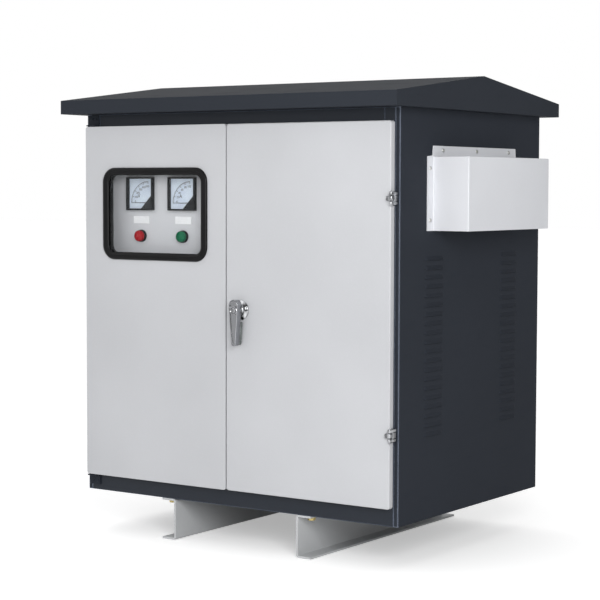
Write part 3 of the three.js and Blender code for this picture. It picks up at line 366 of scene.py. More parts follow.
def screwed(mesh, radius, at, direction):
    """A low round screw head with a driver recess."""
    high = radius * 0.55
    profile = [(0, high * 0.3), (radius * 0.36, high * 0.34), (radius * 0.42, high * 0.95),
               (radius * 0.7, high * 0.84), (radius * 0.94, high * 0.45), (radius, 0), (0, 0)]
    turned(mesh, profile, at, direction, 16)


def softened(node, rounding, steps=2, angle=28):
    """A CAD solid's copy with its flat faces merged and its sharp edges rounded."""
    mesh = bmesh.new()
    mesh.from_mesh(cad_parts[node].data)
    bmesh.ops.transform(mesh, matrix=HOUSING.inverted(), verts=mesh.verts)
    bmesh.ops.remove_doubles(mesh, verts=mesh.verts, dist=0.02)
    bmesh.ops.dissolve_limit(mesh, angle_limit=math.radians(1), verts=mesh.verts, edges=mesh.edges)
    sharp = [edge for edge in mesh.edges
             if edge.is_manifold and edge.calc_face_angle(0) > math.radians(angle)]
    rounded(mesh, sharp, rounding, steps)
    return mesh


def fitted(mesh, name, body, finish, stands_for=(), sheet=0.0, rounding=0.0, smooth=35):
    """Makes a piece of a mesh in housing millimetres, and fixes it to a body.

    sheet is the thickness that a bare surface gets inwards, rounding that of its cut edges.
    """
    bmesh.ops.transform(mesh, matrix=HOUSING, verts=mesh.verts)
    data = bpy.data.meshes.new(name)
    mesh.to_mesh(data)
    mesh.free()
    data.shade_smooth()
    data.set_sharp_from_angle(angle=math.radians(smooth))
    data.materials.append(finish.material)
    made = bpy.data.objects.new(name, data)
    scene.collection.objects.link(made)
    if sheet:
        wall = made.modifiers.new("wall", "SOLIDIFY")
        wall.thickness = sheet * 0.001
        wall.offset = -1
        wall.use_even_offset = True
    if rounding:
        edge = made.modifiers.new("edge", "BEVEL")
        edge.width = rounding * 0.001
        edge.segments = 2
        edge.limit_method = "ANGLE"
        edge.angle_limit = math.radians(40)
    made.modifiers.new("shading", "WEIGHTED_NORMAL").keep_sharp = True
    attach(made, body)
    if stands_for:
        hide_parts(*stands_for)
    return made


skid_grey = powder_coat("skid_grey", (0.48, 0.49, 0.5), 0.45, 500.0, 0.0001, 0.2)
yellow_zinc = zinc_plate("yellow_zinc", (0.62, 0.5, 0.22))
bright_zinc = zinc_plate("bright_zinc", (0.62, 0.62, 0.6))

for side in ("left", "right"):
    fitted(softened(f"skid_{side}", 1.0), f"channel_skid_{side}", "cabinet", skid_grey,
           [f"skid_{side}"])

SKID_BOLT_X = 203
SKID_BOLT_ROWS = (25, 230, 435, 640)
skid_bolts = bmesh.new()
for x in (-SKID_BOLT_X, SKID_BOLT_X):
    for y in SKID_BOLT_ROWS:
        bolted(skid_bolts, 10, (x, y, -5.4), DOWNWARDS)
        turned(skid_bolts, [(0, 3), (10, 3), (10, 5), (5, 5), (5, 16), (4, 17), (0, 17)], (x, y, 0))
        hexagon(skid_bolts, 16, (5, 13), (x, y, 0))
fitted(closed(skid_bolts), "skid_bolts", "cabinet", yellow_zinc)

# ---- Floor tray ---------------------------------------------------------------------------------
# A folded steel tray on the skids, painted dark like the rest of the housing. Its front wall is
# the sill under the doors.

# The dark paint carries a painted highlight along its front folds (last argument).
dark_coat = powder_coat("dark_coat", (0.0165, 0.0205, 0.0285), 0.38, 1100.0, 0.00006, 0.3, 0.25, 0.5)

fitted(softened("floor_tray", 0.7), "sill_tray", "cabinet", dark_coat, ["floor_tray"])

# ---- Frame --------------------------------------------------------------------------------------
# Folded posts at the four corners and a rail over the doors, welded to the posts with an open
# butt seam at each end. The same dark paint.

for node in ("front_post_left", "front_post_right", "rear_post_left", "rear_post_right", "front_top_rail"):
    fitted(softened(node, 0.6), f"{node}_folded", "cabinet", dark_coat, [node])

# ---- Side panels --------------------------------------------------------------------------------
# One 2 mm sheet a side, bent round the front corner. Two columns of louvres are lanced and
# pressed out of it, rounded at their ends and open downwards. The right one has the cable slot.

PANEL_X = 450
PANEL_REAR_Y = 662.7
PANEL_TOP_Z = 926
PANEL_RETURN = 12
PANEL_BEND = 1.6
LOUVRE_COLUMNS = ((109, 190), (466, 547))
LOUVRE_LOW_Z = 190
LOUVRE_PITCH = 20.9
LOUVRE_ROWS = 20
LOUVRE_HEIGHT = 9
LOUVRE_LENGTH = 81
LOUVRE_END = 9
LOUVRE_PROUD = 4.4
CABLE_SLOT_Y = (195, 478)
CABLE_SLOT_Z = (691.5, 781.5)


def cut_lines(mesh, point, normal):
    geometry = mesh.verts[:] + mesh.edges[:] + mesh.faces[:]
    bmesh.ops.bisect_plane(mesh, geom=geometry, dist=0.001, plane_co=point, plane_no=normal)


def louvre_shape(along, down):
    """How far the pressed sheet stands out; along runs end to end in mm, down from 0 to 1."""
    end = min(along, LOUVRE_LENGTH - along) / LOUVRE_END
    rise = math.sin(min(end, 1) * math.pi / 2) ** 0.7 if end > 0 else 0
    return LOUVRE_PROUD * rise * down ** 1.15 if down > 0 else 0


def louvred_panel(side, slot):
    mesh = bmesh.new()
    matrix = Matrix.Translation((side * PANEL_X, PANEL_REAR_Y / 2, PANEL_TOP_Z / 2))
    matrix = matrix @ TO_RIGHT @ Matrix.Diagonal((PANEL_TOP_Z, PANEL_REAR_Y, 1, 1))
    bmesh.ops.create_grid(mesh, x_segments=1, y_segments=1, size=0.5, matrix=matrix)
    openings = [(column, (z, z + LOUVRE_HEIGHT)) for column in LOUVRE_COLUMNS
                for z in (LOUVRE_LOW_Z + row * LOUVRE_PITCH for row in range(LOUVRE_ROWS))]
    if slot:
        openings.append((CABLE_SLOT_Y, CABLE_SLOT_Z))
    for y in sorted({edge for column, _ in openings for edge in column}):
        cut_lines(mesh, (0, y, 0), (0, 1, 0))
    for z in sorted({edge for _, height in openings for edge in height}):
        cut_lines(mesh, (0, 0, z), (0, 0, 1))
    holes = []
    for face in mesh.faces:
        middle = face.calc_center_median()
        if any(wide[0] < middle.y < wide[1] and high[0] < middle.z < high[1] for wide, high in openings):
            holes.append(face)
    bmesh.ops.delete(mesh, geom=holes, context="FACES_ONLY")
    front = [edge for edge in mesh.edges
             if edge.is_boundary and all(vert.co.y < 0.01 for vert in edge.verts)]
    bent = bmesh.ops.extrude_edge_only(mesh, edges=front)["geom"]
    bmesh.ops.translate(mesh, vec=(-side * PANEL_RETURN, 0, 0), verts=corners_of(bent))
    corner = [edge for edge in mesh.edges
              if all(vert.co.y < 0.01 and abs(abs(vert.co.x) - PANEL_X) < 0.01 for vert in edge.verts)]
    rounded(mesh, corner, PANEL_BEND, 3, clamp=False)
    for column in LOUVRE_COLUMNS:
        for row in range(LOUVRE_ROWS):
            z = LOUVRE_LOW_Z + row * LOUVRE_PITCH
            before = set(mesh.verts)
            bmesh.ops.create_grid(mesh, x_segments=14, y_segments=5, size=0.5)
            for vert in mesh.verts:
                if vert in before:
                    continue
                along = (vert.co.x + 0.5) * LOUVRE_LENGTH
                along += math.sin((vert.co.x + 0.5) * math.tau) * -5
                down = 0.5 - vert.co.y
                out = PANEL_X + louvre_shape(along, down)
                vert.co = Vector((side * out, column[0] + along, z + LOUVRE_HEIGHT * (1 - down)))
    bmesh.ops.remove_doubles(mesh, verts=mesh.verts, dist=0.02)
    for face in mesh.faces:
        face.normal_update()
        faces_out = face.normal.x * side > 0.05 or (abs(face.normal.x) <= 0.05 and face.normal.y < 0)
        if not faces_out:
            face.normal_flip()
    return mesh


# A lighter, less glossy copy of the housing's dark paint, set for how light falls on the sides: painted
# light. It also has a full-strength painted highlight along the front fold.
side_coat_painted_light = powder_coat("side_coat_painted_light", (0.026, 0.03, 0.0385), 0.6, 1100.0, 0.00007, 0.3, 0.05, 1.0)
for name, side, slot in (("left", -1, False), ("right", 1, True)):
    fitted(louvred_panel(side, slot), f"louvred_side_{name}", "cabinet", side_coat_painted_light,
           [f"side_panel_{name}"], sheet=1.6, rounding=0.3)

# ---- Rear panel ---------------------------------------------------------------------------------
# A flat sheet over the back of the housing, held to the posts and the tray by zinc-plated screws.

fitted(softened("rear_panel", 0.6), "rear_sheet", "cabinet", dark_coat, ["rear_panel"])

REAR_FACE_Y = 665
rear_screws = bmesh.new()
for z in (30, 250, 470, 690, 900):
    for x in (-435, 435):
        screwed(rear_screws, 5, (x, REAR_FACE_Y, z), TO_REAR)
for x in (-290, -145, 0, 145, 290):
    screwed(rear_screws, 5, (x, REAR_FACE_Y, 30), TO_REAR)
fitted(rear_screws, "rear_screws", "cabinet", bright_zinc)

# ---- Roof ---------------------------------------------------------------------------------------
# A pitched canopy folded from sheet, with a straight fascia all round, over a flat soffit plate
# that closes the top of the housing.

roof_coat = powder_coat("roof_coat", (0.028, 0.032, 0.04), 0.62, 1100.0, 0.00008, 0.3, 0.05)
fitted(softened("roof_canopy", 0.9, 3), "pitched_canopy", "cabinet", roof_coat,
       ["roof_canopy"])
fitted(softened("roof_soffit", 0.5), "soffit_plate", "cabinet", roof_coat, ["roof_soffit"])

# ---- Doors --------------------------------------------------------------------------------------
# Two pans folded from 2 mm sheet with a lip turned in round the back, painted pale grey. The left
# one has the window's cut-out.

DOOR_LOW_Z, DOOR_HIGH_Z = 41, 896
DOOR_FRONT_Y, DOOR_BACK_Y = -20, -2.8
LEFT_DOOR_X = (-438.75, -10.8)
RIGHT_DOOR_X = (-8.4, 438.75)
DOOR_CORNER = 6
DOOR_LIP = 14
DOOR_FOLD = 2.6
WINDOW_X, WINDOW_Z = -222.4, 685
WINDOW_WIDTH, WINDOW_HEIGHT, WINDOW_CORNER = 318, 222, 35

pale_coat = powder_coat("pale_coat", (0.485, 0.492, 0.512), 0.4, 900.0, 0.00005, 0.12)


def rounded_loop(mesh, x, z, width, height, corner, y, steps=8):
    """The edges of a rounded rectangle in a plane of constant y."""
    before = set(mesh.verts)
    matrix = Matrix.Translation((x, y, z)) @ TO_FRONT @ Matrix.Diagonal((width, height, 1, 1))
    corners = bmesh.ops.create_grid(mesh, x_segments=1, y_segments=1, size=0.5, matrix=matrix)["verts"]
    bmesh.ops.bevel(mesh, geom=corners, offset=corner, offset_type="OFFSET", segments=steps,
                    profile=0.5, affect="VERTICES", clamp_overlap=True, material=-1)
    added = [vert for vert in mesh.verts if vert not in before]
    faces = list({face for vert in added for face in vert.link_faces})
    bmesh.ops.delete(mesh, geom=faces, context="FACES_ONLY")
    return list({edge for vert in added for edge in vert.link_edges})


def door_pan(span, cut_out):
    mesh = bmesh.new()
    middle_x, middle_z = sum(span) / 2, (DOOR_LOW_Z + DOOR_HIGH_Z) / 2
    width, height = span[1] - span[0], DOOR_HIGH_Z - DOOR_LOW_Z
    outer = rounded_loop(mesh, middle_x, middle_z, width, height, DOOR_CORNER, DOOR_FRONT_Y)
    rims = outer[:]
    if cut_out:
        inner = rounded_loop(mesh, WINDOW_X, WINDOW_Z, WINDOW_WIDTH - 18, WINDOW_HEIGHT - 18,
                             WINDOW_CORNER - 9, DOOR_FRONT_Y)
        bmesh.ops.triangle_fill(mesh, use_beauty=True, use_dissolve=False, edges=outer + inner)
    else:
        bmesh.ops.contextual_create(mesh, geom=outer)
    wall = bmesh.ops.extrude_edge_only(mesh, edges=rims)["geom"]
    bmesh.ops.translate(mesh, vec=(0, DOOR_BACK_Y - DOOR_FRONT_Y, 0), verts=corners_of(wall))
    back_rim = edges_of(wall)
    lip = bmesh.ops.extrude_edge_only(mesh, edges=back_rim)["geom"]
    inwards = Matrix.Diagonal((1 - 2 * DOOR_LIP / width, 1, 1 - 2 * DOOR_LIP / height, 1))
    middle = Vector((middle_x, 0, middle_z))
    bmesh.ops.transform(mesh, matrix=Matrix.Translation(middle) @ inwards @ Matrix.Translation(-middle),
                        verts=corners_of(lip))
    rounded(mesh, rims + back_rim, DOOR_FOLD, 4)
    closed(mesh)
    mesh.faces.ensure_lookup_table()
    front = min(mesh.faces, key=lambda face: face.calc_center_median().y)
    if front.normal.y > 0:
        bmesh.ops.reverse_faces(mesh, faces=mesh.faces)
    return mesh


for name, span, cut_out in (("left", LEFT_DOOR_X, True), ("right", RIGHT_DOOR_X, False)):
    fitted(door_pan(span, cut_out), f"{name}_door_pan", f"{name}_leaf", pale_coat,
           [f"{name}_door"], sheet=2, rounding=0.3)

# ---- Door seals ---------------------------------------------------------------------------------
# Foam rubber strips glued round the back lip of each door.


def moulded_rubber(name, colour, rough=0.62):
    """Black rubber: a faint bloom, fine pits, and a highlight painted lighter along its edges."""
    skin = Finish(name)
    bloom = skin.noise(14.0, 4.0, 0.6)
    pits = skin.noise(1300.0, 2.0)
    tone = skin.blend(bloom.between(0.35, 0.7), tint(colour, 0.8), tint(colour, 1.5))
    # Painted highlight: edges made lighter, standing in for light catching them.
    tone = skin.blend(skin.edges(0.0015) * 0.4, tone, tint(colour, 2.4))
    normal = skin.bumps(pits, 0.00008)
    return skin.surface(Base_Color=tone, Roughness=rough + bloom * 0.12, Normal=normal,
                        Specular_IOR_Level=0.2)


seal_rubber = moulded_rubber("seal_rubber", (0.012, 0.012, 0.013), 0.7)
for side in ("left", "right"):
    fitted(softened(f"{side}_door_seal", 0.7), f"{side}_foam_seal", f"{side}_leaf", seal_rubber,
           [f"{side}_door_seal"])

# ---- Window -------------------------------------------------------------------------------------
# A flat pane in an extruded rubber profile that clips over the edge of the cut-out and is locked
# by a filler strip pushed into its front face.

gasket_rubber = moulded_rubber("gasket_rubber", (0.0035, 0.0035, 0.004), 0.3)

# Distance in from the outline, and y.
GASKET_PROFILE = (
    (0, -20.3), (0.4, -23.6), (2.2, -25.6), (5, -26.1), (8, -26.1), (8.5, -25.2), (9.8, -25.2),
    (10.3, -26.1), (13, -25.9), (16, -24.8), (17.7, -23), (18, -21.4), (13.7, -21.4), (13.7, -16.6),
    (18, -16.6), (18, -5.4), (17, -4.2), (12, -4.2), (10.5, -6), (10.5, -13), (4, -13), (2.2, -14),
    (2, -17.6), (9.3, -17.6), (9.3, -20.3),
)


def swept_round(mesh, profile):
    """A closed profile carried round the window's outline."""
    edges = rounded_loop(mesh, WINDOW_X, WINDOW_Z, WINDOW_WIDTH, WINDOW_HEIGHT, WINDOW_CORNER,
                         profile[0][1], 10)
    half_x, half_z = WINDOW_WIDTH / 2 - WINDOW_CORNER, WINDOW_HEIGHT / 2 - WINDOW_CORNER
    for inset, y in profile[1:] + profile[:1]:
        ring = bmesh.ops.extrude_edge_only(mesh, edges=edges)["geom"]
        edges = edges_of(ring)
        for vert in corners_of(ring):
            centre = Vector((WINDOW_X + math.copysign(half_x, vert.co.x - WINDOW_X), vert.co.y,
                             WINDOW_Z + math.copysign(half_z, vert.co.z - WINDOW_Z)))
            vert.co = centre + (vert.co - centre).normalized() * (WINDOW_CORNER - inset)
            vert.co.y = y
    bmesh.ops.remove_doubles(mesh, verts=mesh.verts, dist=0.001)


gasket = bmesh.new()
swept_round(gasket, GASKET_PROFILE)
fitted(closed(gasket), "window_profile", "left_leaf", gasket_rubber, ["window_gasket"], smooth=50)


def clear_pane(name, colour):
    """Glass or clear plastic: see-through, with a gloss that grows towards grazing."""
    pane = Finish(name)
    smears = pane.noise(9.0, 4.0, 0.6).between(0.45, 0.8)
    gloss = pane.node("ShaderNodeBsdfPrincipled", {}, {
        "Base Color": colour, "Metallic": 1.0, "Roughness": smears * 0.06 + 0.02})
    through = pane.node("ShaderNodeBsdfTransparent", {}, {"Color": (0.985, 0.99, 0.99, 1)})
    grazing = pane.node("ShaderNodeFresnel", {}, {"IOR": 1.2})
    share = (grazing + smears * 0.006).clamped()
    mixed = pane.node("ShaderNodeMixShader", {}, {0: share, 1: through, 2: gloss})
    pane.node("ShaderNodeOutputMaterial", {}, {"Surface": mixed})
    return pane


PANE_FRONT_Y = -21
PANE_THICKNESS = 4
window_glass = clear_pane("window_glass_clear", (0.8, 0.83, 0.83, 1))
pane = bmesh.new()
pane_edge = rounded_loop(pane, WINDOW_X, WINDOW_Z, WINDOW_WIDTH - 28, WINDOW_HEIGHT - 28,
                         WINDOW_CORNER - 14, PANE_FRONT_Y)
bmesh.ops.contextual_create(pane, geom=pane_edge)
pane_back = bmesh.ops.extrude_face_region(pane, geom=pane.faces[:])["geom"]
bmesh.ops.translate(pane, vec=(0, PANE_THICKNESS, 0), verts=corners_of(pane_back))
fitted(closed(pane), "window_pane", "left_leaf", window_glass, ["window_glass"])

# ---- Lever handle -------------------------------------------------------------------------------
# A die-cast chromed lever, hollowed in front and ribbed behind, that hangs from a turned boss and
# has a key cylinder in its head. Its spindle carries the zinc-plated cam behind the door.

HANDLE_X, HANDLE_Z = 33, 466
BOSS_FOOT_Y = -20.3
LEVER_FRONT_Y, LEVER_BACK_Y = -49.6, -33.6
LEVER_HEAD_RADIUS = 12.5
LEVER_TIP_SCALE, LEVER_TIP_Z = 0.48, -76
SPINE_HALF_WIDTH = 10.2
SPINE_BACK_Y = -24.2
SPINE_LOW_Z, SPINE_HIGH_Z = HANDLE_Z - 80, HANDLE_Z - 27
SPINE_TAPER = 0.008


def bright_chrome(name, colour, rough, dark, reflection_spread=(110.0, 110.0, 40.0)):
    """Chrome on cast zinc: a bright skin with soft waves, fine scratches and dull smudges, toned dark and
    light in broad patches that are painted reflections.
    """
    skin = Finish(name)
    waves = skin.noise(70.0, 2.0)
    hairs = skin.noise(1.0, 3.0, 0.7, skin.stretched((2600.0, 2600.0, 120.0)))
    smudge = skin.noise(60.0, 4.0, 0.65).between(0.45, 0.8)
    # Painted reflections: broad noise patches tone the chrome between dark and light, standing in for the
    # dark and bright surroundings it would mirror.
    painted_reflections = skin.noise(1.0, 1.0, 0.4, skin.stretched(reflection_spread))
    tone = skin.blend(painted_reflections.between(0.4, 0.62), tint(colour, dark), tint(colour, 1.2))
    tone = skin.blend(smudge * 0.25, tone, tint(colour, 0.7))
    normal = skin.bumps(hairs * 0.3 + waves, 0.00012)
    roughness = rough + smudge * 0.12 + hairs * 0.04
    return skin.surface(Base_Color=tone, Metallic=1.0, Roughness=roughness, Normal=normal)


# The handle's chrome is also darkened overall: painted dark reflections. The spine's grey-green tone is a
# painted reflection of the pale door beside the lever.
chrome = bright_chrome("handle_chrome", (0.3, 0.305, 0.32), 0.09, 0.1, (70.0, 25.0, 6.0))
boss_chrome = bright_chrome("boss_chrome", (0.68, 0.69, 0.71), 0.05, 0.1)
hinge_chrome = bright_chrome("hinge_chrome", (0.5, 0.51, 0.53), 0.1, 0.4)
spine_chrome = bright_chrome("spine_chrome", (0.27, 0.295, 0.285), 0.25, 0.5)

boss = bmesh.new()
turned(boss, [(8.3, 0), (23.5, 0), (23.5, 1.5), (22.9, 2.6), (21.5, 3.6), (18.5, 5.4), (16.4, 8),
              (15.6, 11), (15, 12.4), (14.2, 13), (8.3, 13), (8.3, 0)],
       (HANDLE_X, BOSS_FOOT_Y, HANDLE_Z), TO_FRONT, 48)
fitted(closed(boss), "handle_boss", "right_leaf", boss_chrome, ["handle_escutcheon"], smooth=40)

lever = bmesh.new()
outline = bmesh.ops.create_circle(lever, cap_ends=True, segments=40, radius=LEVER_HEAD_RADIUS,
                                  matrix=TO_FRONT)["verts"]
for vert in outline:
    if vert.co.z < -0.01:
        vert.co.x *= LEVER_TIP_SCALE
        vert.co.z = vert.co.z * LEVER_TIP_SCALE + LEVER_TIP_Z
    else:
        vert.co.z += LEVER_HEAD_RADIUS
bmesh.ops.translate(lever, vec=(HANDLE_X, LEVER_BACK_Y, HANDLE_Z), verts=lever.verts)
front_part = bmesh.ops.extrude_face_region(lever, geom=lever.faces[:])["geom"]
bmesh.ops.translate(lever, vec=(0, LEVER_FRONT_Y - LEVER_BACK_Y, 0), verts=corners_of(front_part))
closed(lever)
front_face = [item for item in front_part if isinstance(item, bmesh.types.BMFace)]
rim_edges = list(front_face[0].edges)
bmesh.ops.inset_region(lever, faces=front_face, thickness=1.6, depth=0)
bmesh.ops.inset_region(lever, faces=front_face, thickness=1.4, depth=-2.2)
bmesh.ops.inset_region(lever, faces=front_face, thickness=1.6, depth=-0.8)
rounded(lever, rim_edges, 1.8, 3)
turned(lever, [(0, -22), (7, -22), (8, -21), (8, 12), (0, 12)], (HANDLE_X, -28, HANDLE_Z), TO_FRONT, 32)
turned(lever, [(7.3, 0), (10.5, 0), (10.5, 3.2), (9.8, 3.9), (8, 4), (7.3, 3.4), (7.3, 0)],
       (HANDLE_X, LEVER_FRONT_Y + 3.4, HANDLE_Z), TO_FRONT, 40)
fitted(closed(lever), "lever_arm", "lever", chrome, ["handle_lever"], smooth=40)

spine = bmesh.new()
block(spine, (HANDLE_X - SPINE_HALF_WIDTH, HANDLE_X + SPINE_HALF_WIDTH),
      (LEVER_BACK_Y + 0.2, SPINE_BACK_Y), (SPINE_LOW_Z, SPINE_HIGH_Z), 1.6, 3)
for vert in spine.verts:
    vert.co.x = HANDLE_X + (vert.co.x - HANDLE_X) * (1 - (SPINE_HIGH_Z - vert.co.z) * SPINE_TAPER)
fitted(closed(spine), "lever_spine", "lever", spine_chrome, smooth=40)

barrel = bmesh.new()
turned(barrel, [(0, -10), (6.9, -10), (6.9, 0.4), (6.4, 1), (4.6, 1), (4.4, 0.6), (0, 0.6)],
       (HANDLE_X, LEVER_FRONT_Y + 0.8, HANDLE_Z), TO_FRONT, 32)
fitted(closed(barrel), "key_barrel", "key", hinge_chrome, ["key_cylinder"], smooth=40)

keyway = bmesh.new()
block(keyway, (HANDLE_X - 0.7, HANDLE_X + 0.7), (LEVER_FRONT_Y - 0.25, LEVER_FRONT_Y + 0.6),
      (HANDLE_Z - 3.6, HANDLE_Z + 3.6), 0.2)
fitted(keyway, "keyway", "key", seal_rubber)

cam = softened("lock_cam", 0.9)
hexagon(cam, 17, (-7.2, -13.5), (HANDLE_X, 0, HANDLE_Z), TO_FRONT)
fitted(closed(cam), "lock_tongue", "lever", bright_zinc, ["lock_cam"])

# ---- Hinges and pivots --------------------------------------------------------------------------
# The right door hangs on two chromed lift-off hinges with three knuckles each. The left door turns
# on pins in two painted angle brackets, above and below it.

HINGE_PIN = (444.5, -25)
HINGE_LEVELS = {"upper": 726.5, "lower": 206}
for name, z in HINGE_LEVELS.items():
    fixed = bmesh.new()
    for low, high in ((5.8, 15.4), (-15.4, -5.8)):
        block(fixed, (438.9, 446.4), (-30, -0.4), (z + low, z + high), 2.8, 4)
    block(fixed, (441, 446), (-18.4, -0.4), (z - 6.5, z + 6.5), 0.8)
    for end, direction in ((15.3, UPWARDS), (-15.3, DOWNWARDS)):
        turned(fixed, [(0, 1.5), (1.6, 1.3), (2.6, 0.4), (2.7, -0.5), (0, -0.5)], (*HINGE_PIN, z + end),
               direction, 16)
    fitted(closed(fixed), f"hinge_{name}_fixed", "cabinet", hinge_chrome,
           [f"hinge_right_{name}_frame_leaf"])
    moving = bmesh.new()
    block(moving, (431.4, 447.4), (-30.3, -21), (z - 5.4, z + 5.4), 2.6, 4)
    block(moving, (430, 437.5), (-22.8, -20.3), (z - 5, z + 5), 0.8)
    fitted(moving, f"hinge_{name}_moving", "right_leaf", hinge_chrome,
           [f"hinge_right_{name}_door_leaf"])

bracket_coat = powder_coat("bracket_coat", (0.0165, 0.0205, 0.0285), 0.5, wear=0.1, gloss=0.15)
BRACKET_LEVELS = {"upper": 915, "lower": 22}
for name, z in BRACKET_LEVELS.items():
    bracket = softened(f"pivot_left_{name}", 0.7)
    for x in (-431, -417):
        screwed(bracket, 3.2, (x, -3.3, z), TO_FRONT)
    fitted(bracket, f"pivot_bracket_{name}", "cabinet", bracket_coat, [f"pivot_left_{name}"])

# ---- Instrument plate ---------------------------------------------------------------------------
# A flat painted plate behind the window, screwed to the frame, that carries the meters and lamps.

plate_coat = powder_coat("plate_coat", (0.64, 0.64, 0.67), 0.4, 1000.0, 0.00004, 0.1)
fitted(softened("instrument_plate", 0.4), "meter_plate", "cabinet", plate_coat,
       ["instrument_plate"])

plate_screws = bmesh.new()
for x in (-432, -231, -28):
    for z in (574, 912):
        screwed(plate_screws, 4, (x, 30.3, z), TO_FRONT)
fitted(plate_screws, "plate_screws", "cabinet", bright_zinc)

# ---- Meters -------------------------------------------------------------------------------------
# Two moving-coil panel meters with square black bezels, one for volts and one for amperes: a
# printed card, a needle that sweeps a quarter turn, a corner cover and a clear front.

METERS = {"voltmeter": (-303, "V", (0, 100, 200, 300, 400, 500), "volt_pointer"),
          "ammeter": (-174, "A", (0, 20, 40, 60, 80, 100), "amp_pointer")}
METER_Z = 733.5
PIVOT = 22
CARD_Y = 26.7
INK_DEPTH = (-0.06, 0.06)
TICK_RADII = (48, 51.5)
LONG_TICK_RADII = (46, 51.5)
ARC_RADII = (51.0, 51.9)
NUMBER_RADIUS = 39.5


def moulded_plastic(name, colour, rough=0.35, grain=0.00003, glow=None, gloss=0.5):
    """Moulded plastic: even colour, a slight sink pattern and a highlight painted lighter along its edges.
    """
    skin = Finish(name)
    flow = skin.noise(30.0, 2.0)
    grit = skin.noise(1600.0, 2.0)
    tone = skin.blend(flow.between(0.3, 0.7), tint(colour, 0.93), tint(colour, 1.07))
    # Painted highlight: edges made lighter, standing in for light catching them.
    tone = skin.blend(skin.edges(0.0008) * 0.25, tone, tint(colour, 1.6))
    normal = skin.bumps(grit + flow, grain)
    values = {"Base_Color": tone, "Roughness": rough + flow * 0.08, "Normal": normal,
              "Specular_IOR_Level": gloss}
    if glow:
        values.update(Emission_Color=tone, Emission_Strength=glow)
    return skin.surface(**values)


bezel_plastic = moulded_plastic("bezel_plastic", (0.006, 0.006, 0.008), 0.3, gloss=0.12)
card_print = moulded_plastic("card_white", (0.76, 0.83, 0.98), 0.5)
ink = moulded_plastic("card_ink", (0.012, 0.012, 0.014), 0.5)
meter_glass = clear_pane("meter_front_clear", (0.8, 0.8, 0.85, 1))


def lettering(mesh, words, x, z, height, y):
    """Printed characters as thin raised shapes that face the front."""
    curve = bpy.data.curves.new("print", "FONT")
    curve.body = words
    curve.size = height
    curve.extrude = 0.04
    curve.align_x = "CENTER"
    curve.align_y = "CENTER"
    curve.resolution_u = 3
    carrier = bpy.data.objects.new("print", curve)
    scene.collection.objects.link(carrier)
    flat = bpy.data.meshes.new_from_object(carrier)
    before = set(mesh.verts)
    mesh.from_mesh(flat)
    grown(mesh, before, Matrix.Translation((x, y, z)) @ TO_FRONT)
    bpy.data.objects.remove(carrier)
    bpy.data.curves.remove(curve)
    bpy.data.meshes.remove(flat)


def drawn_at(mesh, angle, radii, half_width):
    """A printed stroke, set round the pivot of the meter that is being drawn."""
    before = set(mesh.verts)
    block(mesh, radii, INK_DEPTH, (-half_width, half_width))
    turn_to = Matrix.Rotation(-math.radians(angle), 4, "Y")
    grown(mesh, before, Matrix.Translation((pivot_x, CARD_Y, pivot_z)) @ turn_to)


for name, (x, unit, numbers, pointer) in METERS.items():
    fitted(softened(f"{name}_case", 0.8, 3), f"{name}_housing", "cabinet", bezel_plastic,
           [f"{name}_case"])
    fitted(softened(f"{name}_dial", 0.2, 1), f"{name}_card", "cabinet", card_print,
           [f"{name}_dial"])
    marks = bmesh.new()
    pivot_x, pivot_z = x + PIVOT, METER_Z - PIVOT
    for step in range(26):
        if step % 5 == 0:
            drawn_at(marks, 180 - step * 3.6, LONG_TICK_RADII, 0.6)
        else:
            drawn_at(marks, 180 - step * 3.6, TICK_RADII, 0.25)
    for step in range(60):
        drawn_at(marks, 180 - (step + 0.5) * 1.5, ARC_RADII, 0.72)
    for step, number in enumerate(numbers):
        angle = math.radians(176 - step * 16.6)
        lettering(marks, str(number), pivot_x + NUMBER_RADIUS * math.cos(angle),
                  pivot_z + NUMBER_RADIUS * math.sin(angle), 7.6, CARD_Y)
    lettering(marks, unit, x - 6, METER_Z - 6, 13, CARD_Y)
    fitted(marks, f"{name}_scale", "cabinet", ink)
    fitted(softened(f"{name}_needle", 0.15, 1), f"{name}_pointer", pointer, ink,
           [f"{name}_needle"])
    fitted(softened(f"{name}_lens", 0.4), f"{name}_front", "cabinet", meter_glass,
           [f"{name}_lens"])

# ---- Pilot lamps --------------------------------------------------------------------------------
# A red and a green indicator with black threaded rims and ribbed translucent lenses, each under a
# blank white engraving plate.

